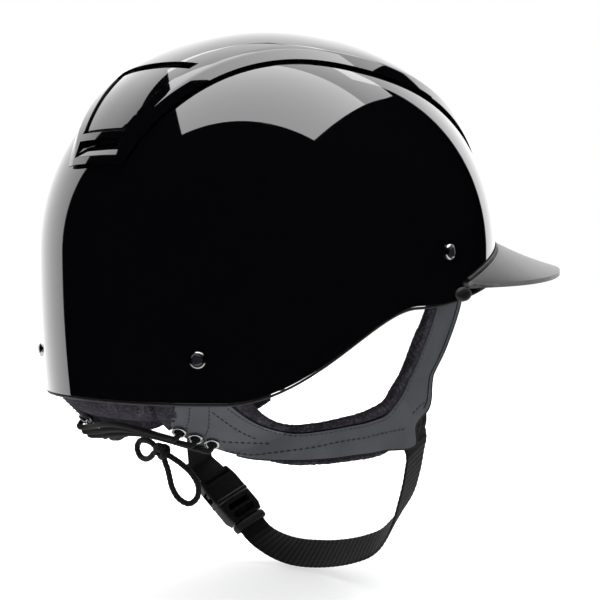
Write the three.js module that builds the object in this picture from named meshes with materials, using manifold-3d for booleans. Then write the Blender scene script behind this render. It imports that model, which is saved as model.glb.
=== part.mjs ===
// An equestrian riding helmet, in millimetres: Z up, the peak towards -Y and the wearer's right at -X.
// The origin is the centre of the head opening, level with the headband.
import * as THREE from 'three';
import { mergeVertices } from 'three/addons/utils/BufferGeometryUtils.js';
import Module from 'manifold-3d';

const wasm = await Module();
wasm.setup();

// ---------------------------------------------------------------- driving dimensions

const GAP = 0.3;                    // clearance between touching pieces
const SHELL_HALF_WIDTH = 107.66;
const SHELL_REAR = 138.25;          // from the origin back to the widest point of the rear
const SHELL_FRONT = 139.75;
const SHELL_HEIGHT = 120;
const REAR_SQUARENESS = 2.289;      // superellipse exponents of the plan
const FRONT_SQUARENESS = 2.13;
const SHELL_THICKNESS = 3;
const LINER_OUTER = 8.3;            // layers are insets from the shell's outer face
const LINER_INNER = 24;
const PAD_LIFT = 1.4;               // pads clear of the liner's facets
const PAD_THICKNESS = 5;

const RIM_REAR_Z = -74;
const RIM_SIDE_RISE = 46;
const RIM_FRONT_RISE = 14;

const PANEL_START = 19;             // angles over the top, in degrees from the rear horizon
const PANEL_END = 168;
const PANEL_LIFT = 1.1;             // the panel's underside above the shell, clear of both sets of facets
const PANEL_RISE = 2.9;
const PANEL_BEVEL = 6;
const VENT_START = 27;
const VENT_END = 47;
const VENT_NARROW = 15.5;
const VENT_WIDE = 29;
const EXHAUST_START = 20.8;
const EXHAUST_END = 24.6;
const EXHAUST_HALF = 17;
const GRILLE_START = 150;
const GRILLE_END = 161;
const GRILLE_HALF = 24;
const VENT_GROOVE = 0.8;            // open slot down each side of the vent insert
const VENT_SLOT = 1.6;              // degrees of open slot above it
const VENT_SEAM = 0.6;              // degrees of gap below it

const PEAK_HALF_WIDTH = 103;
const PEAK_ROOT_Y = -40;
const PEAK_REACH = 157;
const PEAK_SQUARENESS = 2.7;
const PEAK_THICKNESS = 1.8;
const PEAK_LIP = 0.8;               // how far the edge turns down below the underside
const PEAK_FROM = 112;              // degrees round the plan
const PEAK_TO = 248;

const HARNESS_INSET = 4.1;
const LEATHER = 2;
const LINING_LIFT = 1.1;            // lining behind leather, clear of both sets of facets
const LINING = 3;
const NAPE_PAD_REACH = 15.5;        // degrees round the plan each side of the middle
const LEATHER_SHARE = 0.8;          // the leather's part of the harness width; the fleece edge is the rest
const JUNCTION = 6.5 / 17;          // where along the harness the chin strap is sewn in

const RIVETS = {
  rear: { phi: 28.9, z: -52.5 },
  front: { phi: 103, z: 0.2 },
};
const RIVET_HEAD_R = 4.3;
const RIVET_STEM_R = 2;
const EYELETS = [[20.3, -90.2], [23.8, -93.6], [27.6, -96.6]];
const EYELET_R = 4;
const EYELET_HOLE_R = 2.5;
const LACE_R = 1.5;

const AXIS_Y = -18;                 // the line that the chin strap swings about
const AXIS_Z = -104;
const STRAP_TILT = 20;              // degrees forward of straight down, at rest
const WEBBING_WIDTH = 20;
const WEBBING = 1.5;
const STRAP_CONE = 26;              // how far the webbing's face turns at the chin, in degrees
const STRAP_CONE_SIDE = 9;          // and beside the jaw
const BUCKLE_WIDTH = 27;
const BUCKLE_THICK = 8.4;
const FEMALE_LENGTH = 20;
const MALE_LENGTH = 15;
const RING_LENGTH = 5;
const RELEASE_TRAVEL = 6;

const rad = THREE.MathUtils.degToRad;
const { lerp, clamp, smoothstep } = THREE.MathUtils;
const vec = (x, y, z) => new THREE.Vector3(x, y, z);

// ---------------------------------------------------------------- materials

const finish = (color, roughness, metalness = 0) => () =>
  new THREE.MeshStandardMaterial({ color, roughness, metalness });
const gloss = finish('#0c0c0e', 0.08);
const satin = finish('#2c2d30', 0.45);
const matte = finish('#17171a', 0.7);
const foam = finish('#1c1c1f', 0.95);
const fleece = finish('#2a2830', 1);
const leather = finish('#454a4e', 0.6);
const webbing = finish('#161616', 0.9);
const chrome = finish('#c9cbce', 0.15, 1);

// ---------------------------------------------------------------- closed bodies

// Merges a list of triangles into one closed geometry and drops those that have shrunk to nothing.
function closed(positions, index) {
  const raw = new THREE.BufferGeometry();
  raw.setAttribute('position', new THREE.Float32BufferAttribute(positions, 3));
  raw.setIndex(index);
  const merged = mergeVertices(raw, 1e-3);
  const kept = [];
  const old = merged.index.array;
  for (let i = 0; i < old.length; i += 3) {
    const [a, b, c] = [old[i], old[i + 1], old[i + 2]];
    if (a !== b && b !== c && c !== a) kept.push(a, b, c);
  }
  merged.setIndex(kept);
  return outward(merged);
}

// Turns the faces round when they point inwards, which the signed volume shows.
function outward(geometry) {
  const p = geometry.attributes.position;
  const index = Array.from(geometry.index.array);
  const [a, b, c] = [vec(), vec(), vec()];
  let volume = 0;
  for (let i = 0; i < index.length; i += 3) {
    a.fromBufferAttribute(p, index[i]);
    b.fromBufferAttribute(p, index[i + 1]);
    c.fromBufferAttribute(p, index[i + 2]);
    volume += a.dot(b.cross(c));
  }
  if (volume < 0) index.reverse();
  geometry.setIndex(index);
  geometry.computeVertexNormals();
  return geometry;
}

// The solid between two surfaces over u, v in 0..1, walled along its edges.
function slab(nu, nv, outer, inner, wraps = false) {
  const positions = [];
  const index = [];
  const at = (side, i, j) => side * (nu + 1) * (nv + 1) + i * (nv + 1) + j;
  for (const surface of [outer, inner]) {
    for (let i = 0; i <= nu; i++) {
      for (let j = 0; j <= nv; j++) {
        const p = surface(i === nu && wraps ? 0 : i / nu, j / nv);
        positions.push(p.x, p.y, p.z);
      }
    }
  }
  const quad = (a, b, c, d) => index.push(a, b, c, a, c, d);
  for (let i = 0; i < nu; i++) {
    for (let j = 0; j < nv; j++) {
      quad(at(0, i, j), at(0, i + 1, j), at(0, i + 1, j + 1), at(0, i, j + 1));
      quad(at(1, i, j), at(1, i, j + 1), at(1, i + 1, j + 1), at(1, i + 1, j));
    }
    quad(at(0, i, 0), at(1, i, 0), at(1, i + 1, 0), at(0, i + 1, 0));
    quad(at(0, i, nv), at(0, i + 1, nv), at(1, i + 1, nv), at(1, i, nv));
  }
  if (!wraps) {
    for (let j = 0; j < nv; j++) {
      quad(at(0, 0, j), at(0, 0, j + 1), at(1, 0, j + 1), at(1, 0, j));
      quad(at(0, nu, j), at(1, nu, j), at(1, nu, j + 1), at(0, nu, j + 1));
    }
  }
  return closed(positions, index);
}

// A body lofted through rings of points; it closes on itself or has a fan over each end.
function loft(rings, loops = false) {
  const n = rings[0].length;
  const positions = rings.flat().flatMap((p) => [p.x, p.y, p.z]);
  const index = [];
  const last = loops ? rings.length : rings.length - 1;
  for (let i = 0; i < last; i++) {
    const [a, b] = [i * n, ((i + 1) % rings.length) * n];
    for (let j = 0; j < n; j++) {
      const k = (j + 1) % n;
      index.push(a + j, b + j, b + k, a + j, b + k, a + k);
    }
  }
  if (!loops) {
    const end = (rings.length - 1) * n;
    for (let j = 1; j < n - 1; j++) index.push(0, j, j + 1, end, end + j + 1, end + j);
  }
  return closed(positions, index);
}

function toManifold(geometry) {
  const bare = geometry.clone();
  bare.deleteAttribute('normal');
  bare.deleteAttribute('uv');
  const g = mergeVertices(bare, 1e-4);
  return new wasm.Manifold(new wasm.Mesh({
    numProp: 3,
    vertProperties: new Float32Array(g.attributes.position.array),
    triVerts: new Uint32Array(g.index.array),
  }));
}

function fromManifold(solid) {
  const mesh = solid.getMesh();
  return closed(Array.from(mesh.vertProperties), Array.from(mesh.triVerts));
}

function cut(geometry, ...tools) {
  let solid = toManifold(geometry);
  for (const tool of tools) solid = solid.subtract(toManifold(tool));
  return fromManifold(solid);
}

function join(...parts) {
  return fromManifold(wasm.Manifold.union(parts.map(toManifold)));
}

const helmet = new THREE.Group();

function add(name, geometry, material, parent = helmet) {
  const mesh = new THREE.Mesh(geometry, material());
  mesh.name = name;
  parent.add(mesh);
  return mesh;
}

// ---------------------------------------------------------------- the dome and its layers

// Radius of the plan at phi, in degrees from the rear towards the wearer's right.
function planRadius(phi, inset) {
  const c = Math.cos(rad(phi));
  const n = c >= 0 ? REAR_SQUARENESS : FRONT_SQUARENESS;
  const b = (c >= 0 ? SHELL_REAR : SHELL_FRONT) - inset;
  const a = SHELL_HALF_WIDTH - inset;
  return ((Math.abs(Math.sin(rad(phi))) / a) ** n + (Math.abs(c) / b) ** n) ** (-1 / n);
}

// How much the plan has shrunk at height z.
function shrink(z, inset) {
  if (z < 0) return 1 - 0.031 * (z / 78.9) ** 2;
  return Math.max(0, 1 - (z / (SHELL_HEIGHT - inset)) ** 2.018) ** (1 / 2.167);
}

function onDome(phi, z, inset) {
  const r = planRadius(phi, inset) * shrink(z, inset);
  return vec(-r * Math.sin(rad(phi)), r * Math.cos(rad(phi)), z);
}

function rimZ(phi) {
  const side = Math.abs(((phi + 180) % 360 + 360) % 360 - 180);
  const rise = RIM_SIDE_RISE * smoothstep(side, 34, 90);
  return RIM_REAR_Z + rise + RIM_FRONT_RISE * smoothstep(side, 90, 150);
}

// A point of the dome from the rim, t = 0, to the crown, t = 1.
function domeRow(phi, t, inset, lift) {
  const foot = rimZ(phi) + lift;
  const skirt = 0.2;
  if (t < skirt) return onDome(phi, lerp(foot, 0, t / skirt), inset);
  const rise = Math.sin(rad(90 * (t - skirt) / (1 - skirt)));
  return onDome(phi, (SHELL_HEIGHT - inset) * rise, inset);
}

function domeLayer(outer, inner, lift) {
  return slab(36, 10, (u, v) => domeRow(360 * u, v, outer, lift),
    (u, v) => domeRow(360 * u, v, inner, lift), true);
}

// A point of the dome at angle alpha over the top, from the rear horizon, and x to the side.
function overTop(alpha, x, inset) {
  const [c, s] = [Math.cos(rad(alpha)), Math.sin(rad(alpha))];
  const n = c >= 0 ? REAR_SQUARENESS : FRONT_SQUARENESS;
  const b = (c >= 0 ? SHELL_REAR : SHELL_FRONT) - inset;
  const side = (Math.abs(x) / (SHELL_HALF_WIDTH - inset)) ** n;
  const outside = (r) => {
    const plan = (side + (Math.abs(r * c) / b) ** n) ** (1 / n);
    return plan > shrink(r * s, inset);
  };
  let [low, high] = [0, 200];
  for (let i = 0; i < 40; i++) {
    const middle = (low + high) / 2;
    if (outside(middle)) high = middle;
    else low = middle;
  }
  return vec(x, low * c, low * s);
}

// A patch of the dome between two angles over the top, with a half-width that depends on the angle.
function topPatch(start, end, half, outer, inner, nu = 12, nv = 8) {
  const place = (inset) => (u, v) => {
    const alpha = lerp(start, end, u);
    return overTop(alpha, half(alpha) * (2 * v - 1), inset);
  };
  return slab(nu, nv, place(outer), place(inner));
}

// ---------------------------------------------------------------- shell, liner and centre panel

const panelHalf = (alpha) => 22 + 48 * Math.sin(rad(90 * (alpha - PANEL_START) / 91));
const ventHalf = (alpha) => lerp(VENT_NARROW, VENT_WIDE, (alpha - VENT_START) / (VENT_END - VENT_START));
const exhaustHalf = () => EXHAUST_HALF;
const grilleHalf = () => GRILLE_HALF;
const DEEP = LINER_INNER + 12;
const PROUD = -12;

const rearPort = () => topPatch(EXHAUST_START, VENT_END - 3, () => 13, PROUD, DEEP, 4, 2);
const frontPort = () => topPatch(GRILLE_START + 2, GRILLE_END - 2, () => 18, PROUD, DEEP, 4, 2);

// A short round tool through the dome along its normal.
function drill(point, normal, radius, length = 16) {
  const rod = new THREE.CylinderGeometry(radius, radius, length, 14);
  rod.applyQuaternion(new THREE.Quaternion().setFromUnitVectors(vec(0, 1, 0), normal));
  rod.translate(point.x, point.y, point.z);
  return rod;
}

function domeNormal(phi, z) {
  const across = onDome(phi + 0.5, z, 0).sub(onDome(phi - 0.5, z, 0));
  const up = onDome(phi, z + 0.5, 0).sub(onDome(phi, z - 0.5, 0));
  const normal = across.cross(up).normalize();
  return normal.dot(onDome(phi, 0, 0)) < 0 ? normal.negate() : normal;
}

const rivetPlaces = [];
for (const [where, { phi, z }] of Object.entries(RIVETS)) {
  for (const [side, sign] of [['right', 1], ['left', -1]]) {
    const point = onDome(sign * phi, z, 0);
    rivetPlaces.push({ name: `${where}_${side}`, point, normal: domeNormal(sign * phi, z) });
  }
}
function rivetHoles() {
  return rivetPlaces.map(({ point, normal }) => drill(point, normal, RIVET_STEM_R + GAP, 24));
}

// Where the panel's columns lie across it: two down each bevel and even ones between the shoulders.
function panelColumns(half) {
  const shoulder = half - PANEL_BEVEL;
  const columns = [-half, -half + 1.5];
  for (let i = -4; i <= 4; i++) columns.push(shoulder * i / 4);
  return [...columns, half - 1.5, half];
}

function centrePanel() {
  const count = panelColumns(PANEL_BEVEL).length - 1;
  const place = (alpha, v, rise) => {
    const x = panelColumns(panelHalf(alpha))[Math.round(v * count)];
    return overTop(alpha, x, -PANEL_LIFT - rise);
  };
  const top = (u, v) => {
    const ends = clamp(Math.min(u, 1 - u) * 16, 0.35, 1);
    const fromEdge = Math.round(Math.min(v, 1 - v) * count);
    const rise = [0.6, 1][fromEdge] ?? PANEL_RISE * ends;
    return place(lerp(PANEL_START, PANEL_END, u), v, rise);
  };
  const bottom = (u, v) => place(lerp(PANEL_START, PANEL_END, u), v, 0);
  const openHalf = (alpha) => ventHalf(alpha) + VENT_GROOVE;
  return cut(slab(18, count, top, bottom),
    topPatch(VENT_START - VENT_SEAM, VENT_END + VENT_SLOT, openHalf, PROUD, 2, 6, 4),
    topPatch(EXHAUST_START, EXHAUST_END, exhaustHalf, PROUD, 2, 2, 4),
    topPatch(GRILLE_START, GRILLE_END, grilleHalf, PROUD, 2, 4, 6));
}

function ventMesh() {
  const sheet = topPatch(EXHAUST_START + 0.4, VENT_END - 3.6, () => 12, 4, 5.2, 6, 4);
  const holes = [];
  for (const alpha of [26, 32, 38]) {
    for (const x of [-6, 6]) {
      holes.push(topPatch(alpha - 1.6, alpha + 1.6, () => 3.6, 2, 8, 1, 1).translate(x, 0, 0));
    }
  }
  return cut(sheet, ...holes);
}

function frontGrille() {
  const body = topPatch(GRILLE_START + 0.2, GRILLE_END - 0.2, () => GRILLE_HALF - 0.4, -2.6, -0.4, 4, 6);
  const slot = (alpha) => topPatch(alpha - 0.7, alpha + 0.7, () => 17, -6, 3, 1, 4);
  const slots = [152.4, 155.4, 158.4].map(slot);
  return cut(body, ...slots);
}

add('outer_shell', cut(domeLayer(0, SHELL_THICKNESS, 0), rearPort(), frontPort(), ...rivetHoles()), gloss);
add('impact_liner', cut(domeLayer(LINER_OUTER, LINER_INNER, 3), rearPort(), frontPort()), foam);
add('center_panel', centrePanel(), gloss);
add('rear_vent_insert', topPatch(VENT_START, VENT_END, ventHalf, -2.9, -0.4, 8, 6), gloss);
add('rear_vent_mesh', ventMesh(), matte);
add('front_vent_grille', frontGrille(), matte);

// ---------------------------------------------------------------- peak, rim and pads

const peakRootZ = (phi) => {
  const side = phi > 180 ? 360 - phi : phi;
  return -17 + 28.5 * Math.sin(rad(90 * (side - 111) / 69));
};
function peakPoint(u, v) {
  const phi = lerp(PEAK_FROM, PEAK_TO, u);
  const root = onDome(phi, peakRootZ(phi), -1.8);
  const turn = rad(180 * u);
  const power = 2 / PEAK_SQUARENESS;
  const x = -PEAK_HALF_WIDTH * Math.sign(Math.cos(turn)) * Math.abs(Math.cos(turn)) ** power;
  const y = PEAK_ROOT_Y - PEAK_REACH * Math.sin(turn) ** power;
  const edge = vec(x, y, -6 - 11 * Math.abs(x / PEAK_HALF_WIDTH) ** 2.8);
  const p = root.lerp(edge, v);
  p.z -= 1.4 * Math.sin(Math.PI * v) * Math.sin(turn);
  return p;
}

function lowered(u, v, drop) {
  return peakPoint(u, v).add(vec(0, 0, -drop));
}

// Rows out from the root; the last two make the lip that hides the edge of the underside.
const PEAK_ROWS = [0, 0.33, 0.66, 0.94, 1];
const peakRow = (v) => PEAK_ROWS[Math.round(v * (PEAK_ROWS.length - 1))];
add('peak', slab(32, PEAK_ROWS.length - 1,
  (u, v) => lowered(u, peakRow(v), 0),
  (u, v) => lowered(u, peakRow(v), v === 1 ? PEAK_THICKNESS + PEAK_LIP : PEAK_THICKNESS)), satin);

const UNDERSIDE_TOP = PEAK_THICKNESS + 0.2;
add('peak_underside', slab(32, 3,
  (u, v) => lowered(u, lerp(0.08, 0.9, v), UNDERSIDE_TOP),
  (u, v) => lowered(u, lerp(0.08, 0.9, v), UNDERSIDE_TOP + 0.8)), matte);

const sealRings = [];
for (let i = 0; i <= 28; i++) {
  const phi = lerp(PEAK_FROM + 1, PEAK_TO - 1, i / 28);
  const z = peakRootZ(phi) + 0.5;
  const section = [[-0.3, 0], [-0.3, 1.4], [-1.1, 1.1], [-1.7, 0]];
  sealRings.push(section.map(([inset, up]) => onDome(phi, z + up, inset)));
}
add('peak_seal', loft(sealRings), matte);

// A rounded pad on the shell under each corner of the peak.
function peakMount(sign) {
  const place = (proud) => (u, v) => {
    const bulge = Math.sqrt(Math.sin(Math.PI * u) * Math.sin(Math.PI * v));
    const point = onDome(sign * lerp(107.5, 115, u), lerp(-27, -21.2, v), -0.3 - proud * bulge);
    return point;
  };
  return slab(8, 5, place(3.4), place(0));
}
add('peak_mount_right', peakMount(1), matte);
add('peak_mount_left', peakMount(-1), matte);

const trimRings = [];
for (let i = 0; i < 36; i++) {
  const phi = 10 * i;
  const z = rimZ(phi) - GAP - 0.1;
  const section = [[0.1, 0], [3.1, 0], [2.9, -1.5], [0.4, -1.5]];
  trimRings.push(section.map(([inset, up]) => onDome(phi, z + up, inset)));
}
add('rim_trim', loft(trimRings, true), matte);

// A headband pad between two angles of the plan, hung below the liner at the rear.
function bandPad(from, to) {
  const foot = (phi) => {
    const side = Math.abs(phi > 180 ? 360 - phi : phi);
    return rimZ(phi) + lerp(-12, 4, smoothstep(side, 20, 75));
  };
  const at = (inset) => (u, v) => {
    const phi = lerp(from, to, u);
    const soft = inset > LINER_INNER + 3 ? 1.5 * (1 - Math.sin(Math.PI * v)) : 0;
    return onDome(phi, foot(phi) + 36 * v, inset - soft);
  };
  return slab(12, 4, at(LINER_INNER + PAD_LIFT), at(LINER_INNER + PAD_LIFT + PAD_THICKNESS));
}

add('headband_pad_rear', bandPad(-44, 44), fleece);
add('headband_pad_right', bandPad(47, 132), fleece);
add('headband_pad_front', bandPad(135, 225), fleece);
add('headband_pad_left', bandPad(228, 313), fleece);
const crownHalf = (alpha) => 34 * Math.sqrt(Math.max(0.15, 1 - ((alpha - 92) / 34) ** 2));
const crownTop = LINER_INNER + PAD_LIFT;
add('crown_pad', topPatch(60, 124, crownHalf, crownTop, crownTop + PAD_THICKNESS, 10, 6), fleece);

// A fleece cushion under the rim at the nape, between the tips of the harness.
function napePad() {
  const section = [
    [4.5, 2.3], [4.5, -1.5], [6.5, -5.5], [9.5, -8.5], [14, -11], [20, -12.5], [24, -12.5], [24, 2.3],
  ];
  const rings = [];
  for (let i = 0; i <= 8; i++) {
    const phi = lerp(-NAPE_PAD_REACH, NAPE_PAD_REACH, i / 8);
    rings.push(section.map(([inset, up]) => onDome(phi, rimZ(phi) + up, inset)));
  }
  return loft(rings);
}
add('nape_pad', napePad(), fleece);

// ---------------------------------------------------------------- harness

// Across the harness, from its outer edge (front, then lower) to the edge of the ear opening:
// phi and z of the one, phi and z of the other, from the front rivet round to the rear rivet.
const HARNESS = [
  [111, 8, 97, 8], [113, -12, 97.5, -12], [115, -28, 98, -30], [111, -52, 94.5, -53],
  [106, -67, 91, -66], [104, -83, 87, -73], [97, -92, 84, -78], [96.5, -103, 79, -81],
  [84, -107, 74, -83], [71, -108, 67, -85], [60, -109, 59, -87], [50, -109, 51, -88],
  [40, -105.5, 46, -86], [30, -101, 42, -81], [21.5, -95, 39.5, -74], [18, -84, 37, -66],
  [20, -66, 35.5, -57], [23, -46, 34, -46],
];
const outerEdge = new THREE.CatmullRomCurve3(HARNESS.map(([phi, z]) => vec(phi, z, 0)));
const earEdge = new THREE.CatmullRomCurve3(HARNESS.map(([, , phi, z]) => vec(phi, z, 0)));

// The harness hugs the shell's inside, then draws in below the rim, most at the nape.
function harnessInset(phi, z) {
  const below = Math.max(0, rimZ(phi) - z);
  const side = HARNESS_INSET + Math.min(8, 0.2 * below);
  const rear = HARNESS_INSET + Math.min(24, 0.95 * below);
  return lerp(rear, side, smoothstep(phi, 30, 75));
}

function onFace(phi, z, depth) {
  const r = planRadius(phi, harnessInset(phi, z) + depth) * shrink(Math.max(z, rimZ(phi)), 0);
  return vec(-r * Math.sin(rad(phi)), r * Math.cos(rad(phi)), z);
}

function onHarness(along, across, depth, sign) {
  const p = outerEdge.getPoint(along).lerp(earEdge.getPoint(along), across);
  const point = onFace(p.x, p.y, depth);
  point.x *= sign;
  return point;
}

// Where across the harness the leather starts: the fleece shows below it at the jaw.
function leatherFoot(along) {
  const row = along * (HARNESS.length - 1);
  return 0.17 * smoothstep(row, 6.8, 8.6) * (1 - smoothstep(row, 9.8, 11.4));
}

function leatherPanel(sign) {
  const at = (depth) => (u, v) => onHarness(u, lerp(leatherFoot(u), LEATHER_SHARE, v), depth, sign);
  return slab(51, 3, at(0), at(LEATHER));
}

function liningPanel(sign) {
  const place = (u, v) => {
    const along = lerp(0.135, 0.855, u);
    const clear = 0.42 * Math.exp(-(((along - JUNCTION) * 17) ** 2));
    return [along, lerp(0.02 + clear, 1, v)];
  };
  const outer = (u, v) => {
    const [along, across] = place(u, v);
    const proud = v === 1 ? 0.4 : LEATHER + LINING_LIFT;
    return onHarness(along, across, proud, sign);
  };
  const inner = (u, v) => {
    const [along, across] = place(u, v);
    return onHarness(along, across, LEATHER + LINING_LIFT + LINING * (v === 1 ? 0.6 : 1), sign);
  };
  return slab(30, 5, outer, inner);
}

// A frame on the harness: where it is, and the way it faces.
function harnessFrame(phi, z, sign) {
  const at = (dPhi, dZ) => onFace(phi + dPhi, z + dZ, 0);
  const point = at(0, 0);
  const normal = at(0.5, 0).sub(at(-0.5, 0)).cross(at(0, 0.5).sub(at(0, -0.5))).normalize();
  if (normal.dot(vec(point.x, point.y, 0)) < 0) normal.negate();
  point.x *= sign;
  normal.x *= sign;
  return { point, normal };
}

function lathe(profile, segments) {
  return new THREE.LatheGeometry(profile.map(([r, y]) => new THREE.Vector2(r, y)), segments);
}

// The closed body of a ready-made geometry, whose own seams and sides do not share points.
function welded(geometry) {
  const position = geometry.attributes.position;
  const index = geometry.index?.array ?? Array.from({ length: position.count }, (_, i) => i);
  return closed(Array.from(position.array), Array.from(index));
}

// Stands a turned piece on a point, its axis along the normal.
function stand(geometry, { point, normal }) {
  const solid = welded(geometry);
  solid.applyQuaternion(new THREE.Quaternion().setFromUnitVectors(vec(0, 1, 0), normal));
  solid.translate(point.x, point.y, point.z);
  solid.computeVertexNormals();
  return solid;
}

for (const [side, sign] of [['right', 1], ['left', -1]]) {
  const eyelets = EYELETS.map(([phi, z]) => harnessFrame(phi, z, sign));
  const holes = eyelets.map(({ point, normal }) => drill(point, normal, EYELET_HOLE_R + 0.8 + 2 * GAP, 14));
  add(`harness_${side}`, cut(leatherPanel(sign), ...holes, ...rivetHoles()), leather);
  add(`harness_lining_${side}`, cut(liningPanel(sign), ...holes), fleece);
  eyelets.forEach((frame, i) => {
    const barrel = EYELET_HOLE_R + 0.8;
    const deep = -LEATHER - 0.4;
    const ring = lathe([
      [EYELET_HOLE_R, deep], [barrel, deep], [barrel, 3 * GAP],
      [EYELET_R, 3 * GAP], [EYELET_R - 0.4, 1.6], [EYELET_HOLE_R, 1.6], [EYELET_HOLE_R, deep],
    ], 12);
    add(`eyelet_${side}_${i + 1}`, stand(ring, frame), chrome);
  });
}

for (const { name, point, normal } of rivetPlaces) {
  const place = { point, normal };
  const deep = -SHELL_THICKNESS - LEATHER - 2.9;
  const ring = lathe([
    [0, deep], [RIVET_STEM_R, deep], [RIVET_STEM_R, GAP], [RIVET_HEAD_R, GAP], [RIVET_HEAD_R, 1.1],
    [RIVET_HEAD_R - 0.8, 1.9], [RIVET_HEAD_R - 1.2, 1.3], [0, 1.3],
  ], 14);
  add(`rivet_${name}`, stand(ring, place), chrome);
  const dome = [[0, 1.6], [RIVET_HEAD_R - 1.5, 1.6]];
  for (const turn of [0, 30, 60, 90]) {
    dome.push([(RIVET_HEAD_R - 1.5) * Math.cos(rad(turn)), 1.8 + 0.9 * Math.sin(rad(turn))]);
  }
  add(`rivet_cap_${name}`, stand(lathe(dome, 14), place), gloss);
  const back = -SHELL_THICKNESS - LEATHER - 2.1;
  const washer = lathe([
    [RIVET_STEM_R + GAP, back - 0.5], [4.4, back - 0.5], [4.4, back], [RIVET_STEM_R + GAP, back],
    [RIVET_STEM_R + GAP, back - 0.5],
  ], 12);
  add(`rivet_washer_${name}`, stand(washer, place), chrome);
}

// ---------------------------------------------------------------- nape lace

function cord(points, steps, radius = LACE_R) {
  const curve = new THREE.CatmullRomCurve3(points.map((p) => vec(...p)));
  const section = new THREE.Shape();
  const sides = 8;
  for (let i = 0; i < sides; i++) {
    const turn = 2 * Math.PI * i / sides;
    const [x, y] = [radius * Math.cos(turn), radius * Math.sin(turn)];
    if (i) section.lineTo(x, y);
    else section.moveTo(x, y);
  }
  return welded(new THREE.ExtrudeGeometry(section, { steps, bevelEnabled: false, extrudePath: curve }));
}

EYELETS.forEach(([phi, z], row) => {
  const right = harnessFrame(phi, z, 1);
  const out = (distance) => right.point.clone().addScaledVector(right.normal, distance);
  const near = [out(-2.4), out(-0.2), out(2.8), out(5.2), out(5)];
  near[3].x += 1.6;
  near[4].x += 8 + row;
  const side = near.map((p) => [p.x, p.y, p.z]);
  const [, run, sag] = side[4];
  const back = run + 4.5 - row;
  const middle = [[-14, back, sag + 3.4], [0, back + 1.2, sag + 4.4], [14, back, sag + 3.4]];
  const far = side.map(([x, y, zz]) => [-x, y, zz]).reverse();
  add(`lace_strand_${row + 1}`, cord([...side, ...middle, ...far], 20), webbing);
});

// ---------------------------------------------------------------- chin strap

const strap = new THREE.Group();
strap.position.set(0, AXIS_Y, AXIS_Z);
strap.rotation.x = rad(-STRAP_TILT);
helmet.add(strap);

const BUCKLE_TOP = vec(91, 0, -38);
const BUCKLE_WAY = vec(-0.646, 0, -0.763).normalize();
const alongBuckle = (s) => BUCKLE_TOP.clone().addScaledVector(BUCKLE_WAY, s);

// Sweeps a flat section along points of the strap's plane; cone(t) turns its face.
function flatSweep(curve, steps, width, thickness, cone) {
  const rings = [];
  const centre = vec(10, 0, -30);
  for (let i = 0; i <= steps; i++) {
    const t = i / steps;
    const p = curve.getPoint(t);
    const tangent = curve.getTangent(t);
    const outwards = vec(-tangent.z, 0, tangent.x).normalize();
    if (outwards.dot(p.clone().sub(centre)) < 0) outwards.negate();
    const turn = rad(cone(t));
    const wide = vec(0, Math.cos(turn), 0).addScaledVector(outwards, Math.sin(turn));
    const thick = outwards.clone().multiplyScalar(Math.cos(turn)).add(vec(0, -Math.sin(turn), 0));
    wide.multiplyScalar(width / 2);
    thick.multiplyScalar(thickness / 2);
    const corner = (a, b) => p.clone().addScaledVector(wide, a).addScaledVector(thick, b);
    rings.push([corner(-1, -1), corner(1, -1), corner(1, 1), corner(-1, 1)]);
  }
  return loft(rings);
}

// The long webbing, from inside the male half round the chin to the junction on the right.
const webbingStart = FEMALE_LENGTH + 8;
const straightEnd = FEMALE_LENGTH + MALE_LENGTH + RING_LENGTH + RELEASE_TRAVEL + 2;
const longPoints = [webbingStart, (webbingStart + straightEnd) / 2, straightEnd].map(alongBuckle);
for (const [x, drop] of [[48, 80], [33, 82.5], [14, 81.5], [-6, 78], [-25, 72.5], [-41, 65.5], [-55, 54],
  [-68, 39.5], [-79, 22], [-85.5, 9], [-89, 1], [-89.4, -7]]) {
  longPoints.push(vec(x, 0, -drop));
}
const longCurve = new THREE.CatmullRomCurve3(longPoints, false, 'centripetal');
const longCone = (t) => {
  const turned = lerp(STRAP_CONE, STRAP_CONE_SIDE, smoothstep(t, 0.6, 0.76));
  return turned * smoothstep(t, 0.12, 0.36) * (1 - smoothstep(t, 0.88, 1));
};
add('chin_webbing', flatSweep(longCurve, 44, WEBBING_WIDTH, WEBBING, longCone), webbing, strap);

// The short webbing hangs from the junction on the left, round the bar of the female half and back.
const BAR_AT = 2;
const BAR_LOOP_R = 2.1;
const sideways = vec(-BUCKLE_WAY.z, 0, BUCKLE_WAY.x);
const barPoint = (s, off) => alongBuckle(s).addScaledVector(sideways, -off);
const tabPoints = [vec(89.4, 0, 7), vec(89.4, 0, -3), vec(92.6, 0, -12), vec(95.6, 0, -22)];
tabPoints.push(barPoint(-8, -2.1), barPoint(BAR_AT - 2, -BAR_LOOP_R));
for (const turn of [-60, 0, 60]) {
  const [c, s] = [Math.cos(rad(turn)), Math.sin(rad(turn))];
  tabPoints.push(barPoint(BAR_AT + BAR_LOOP_R * c, BAR_LOOP_R * s));
}
tabPoints.push(barPoint(BAR_AT - 2, BAR_LOOP_R), barPoint(-8, 0.2), barPoint(-14, -0.2));
const tabCurve = new THREE.CatmullRomCurve3(tabPoints, false, 'centripetal');
add('chin_tab', flatSweep(tabCurve, 36, WEBBING_WIDTH, 1.3, () => 0), webbing, strap);

// The buckle's own frame: X along the strap away from the female's bar, Y across the webbing.
const buckle = new THREE.Group();
buckle.position.copy(BUCKLE_TOP);
buckle.rotation.y = Math.atan2(-BUCKLE_WAY.z, BUCKLE_WAY.x);
strap.add(buckle);

function block(x0, x1, halfY, halfZ, y0 = -halfY) {
  const g = new THREE.BoxGeometry(x1 - x0, halfY - y0, 2 * halfZ);
  return g.translate((x0 + x1) / 2, (halfY + y0) / 2, 0);
}

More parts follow.
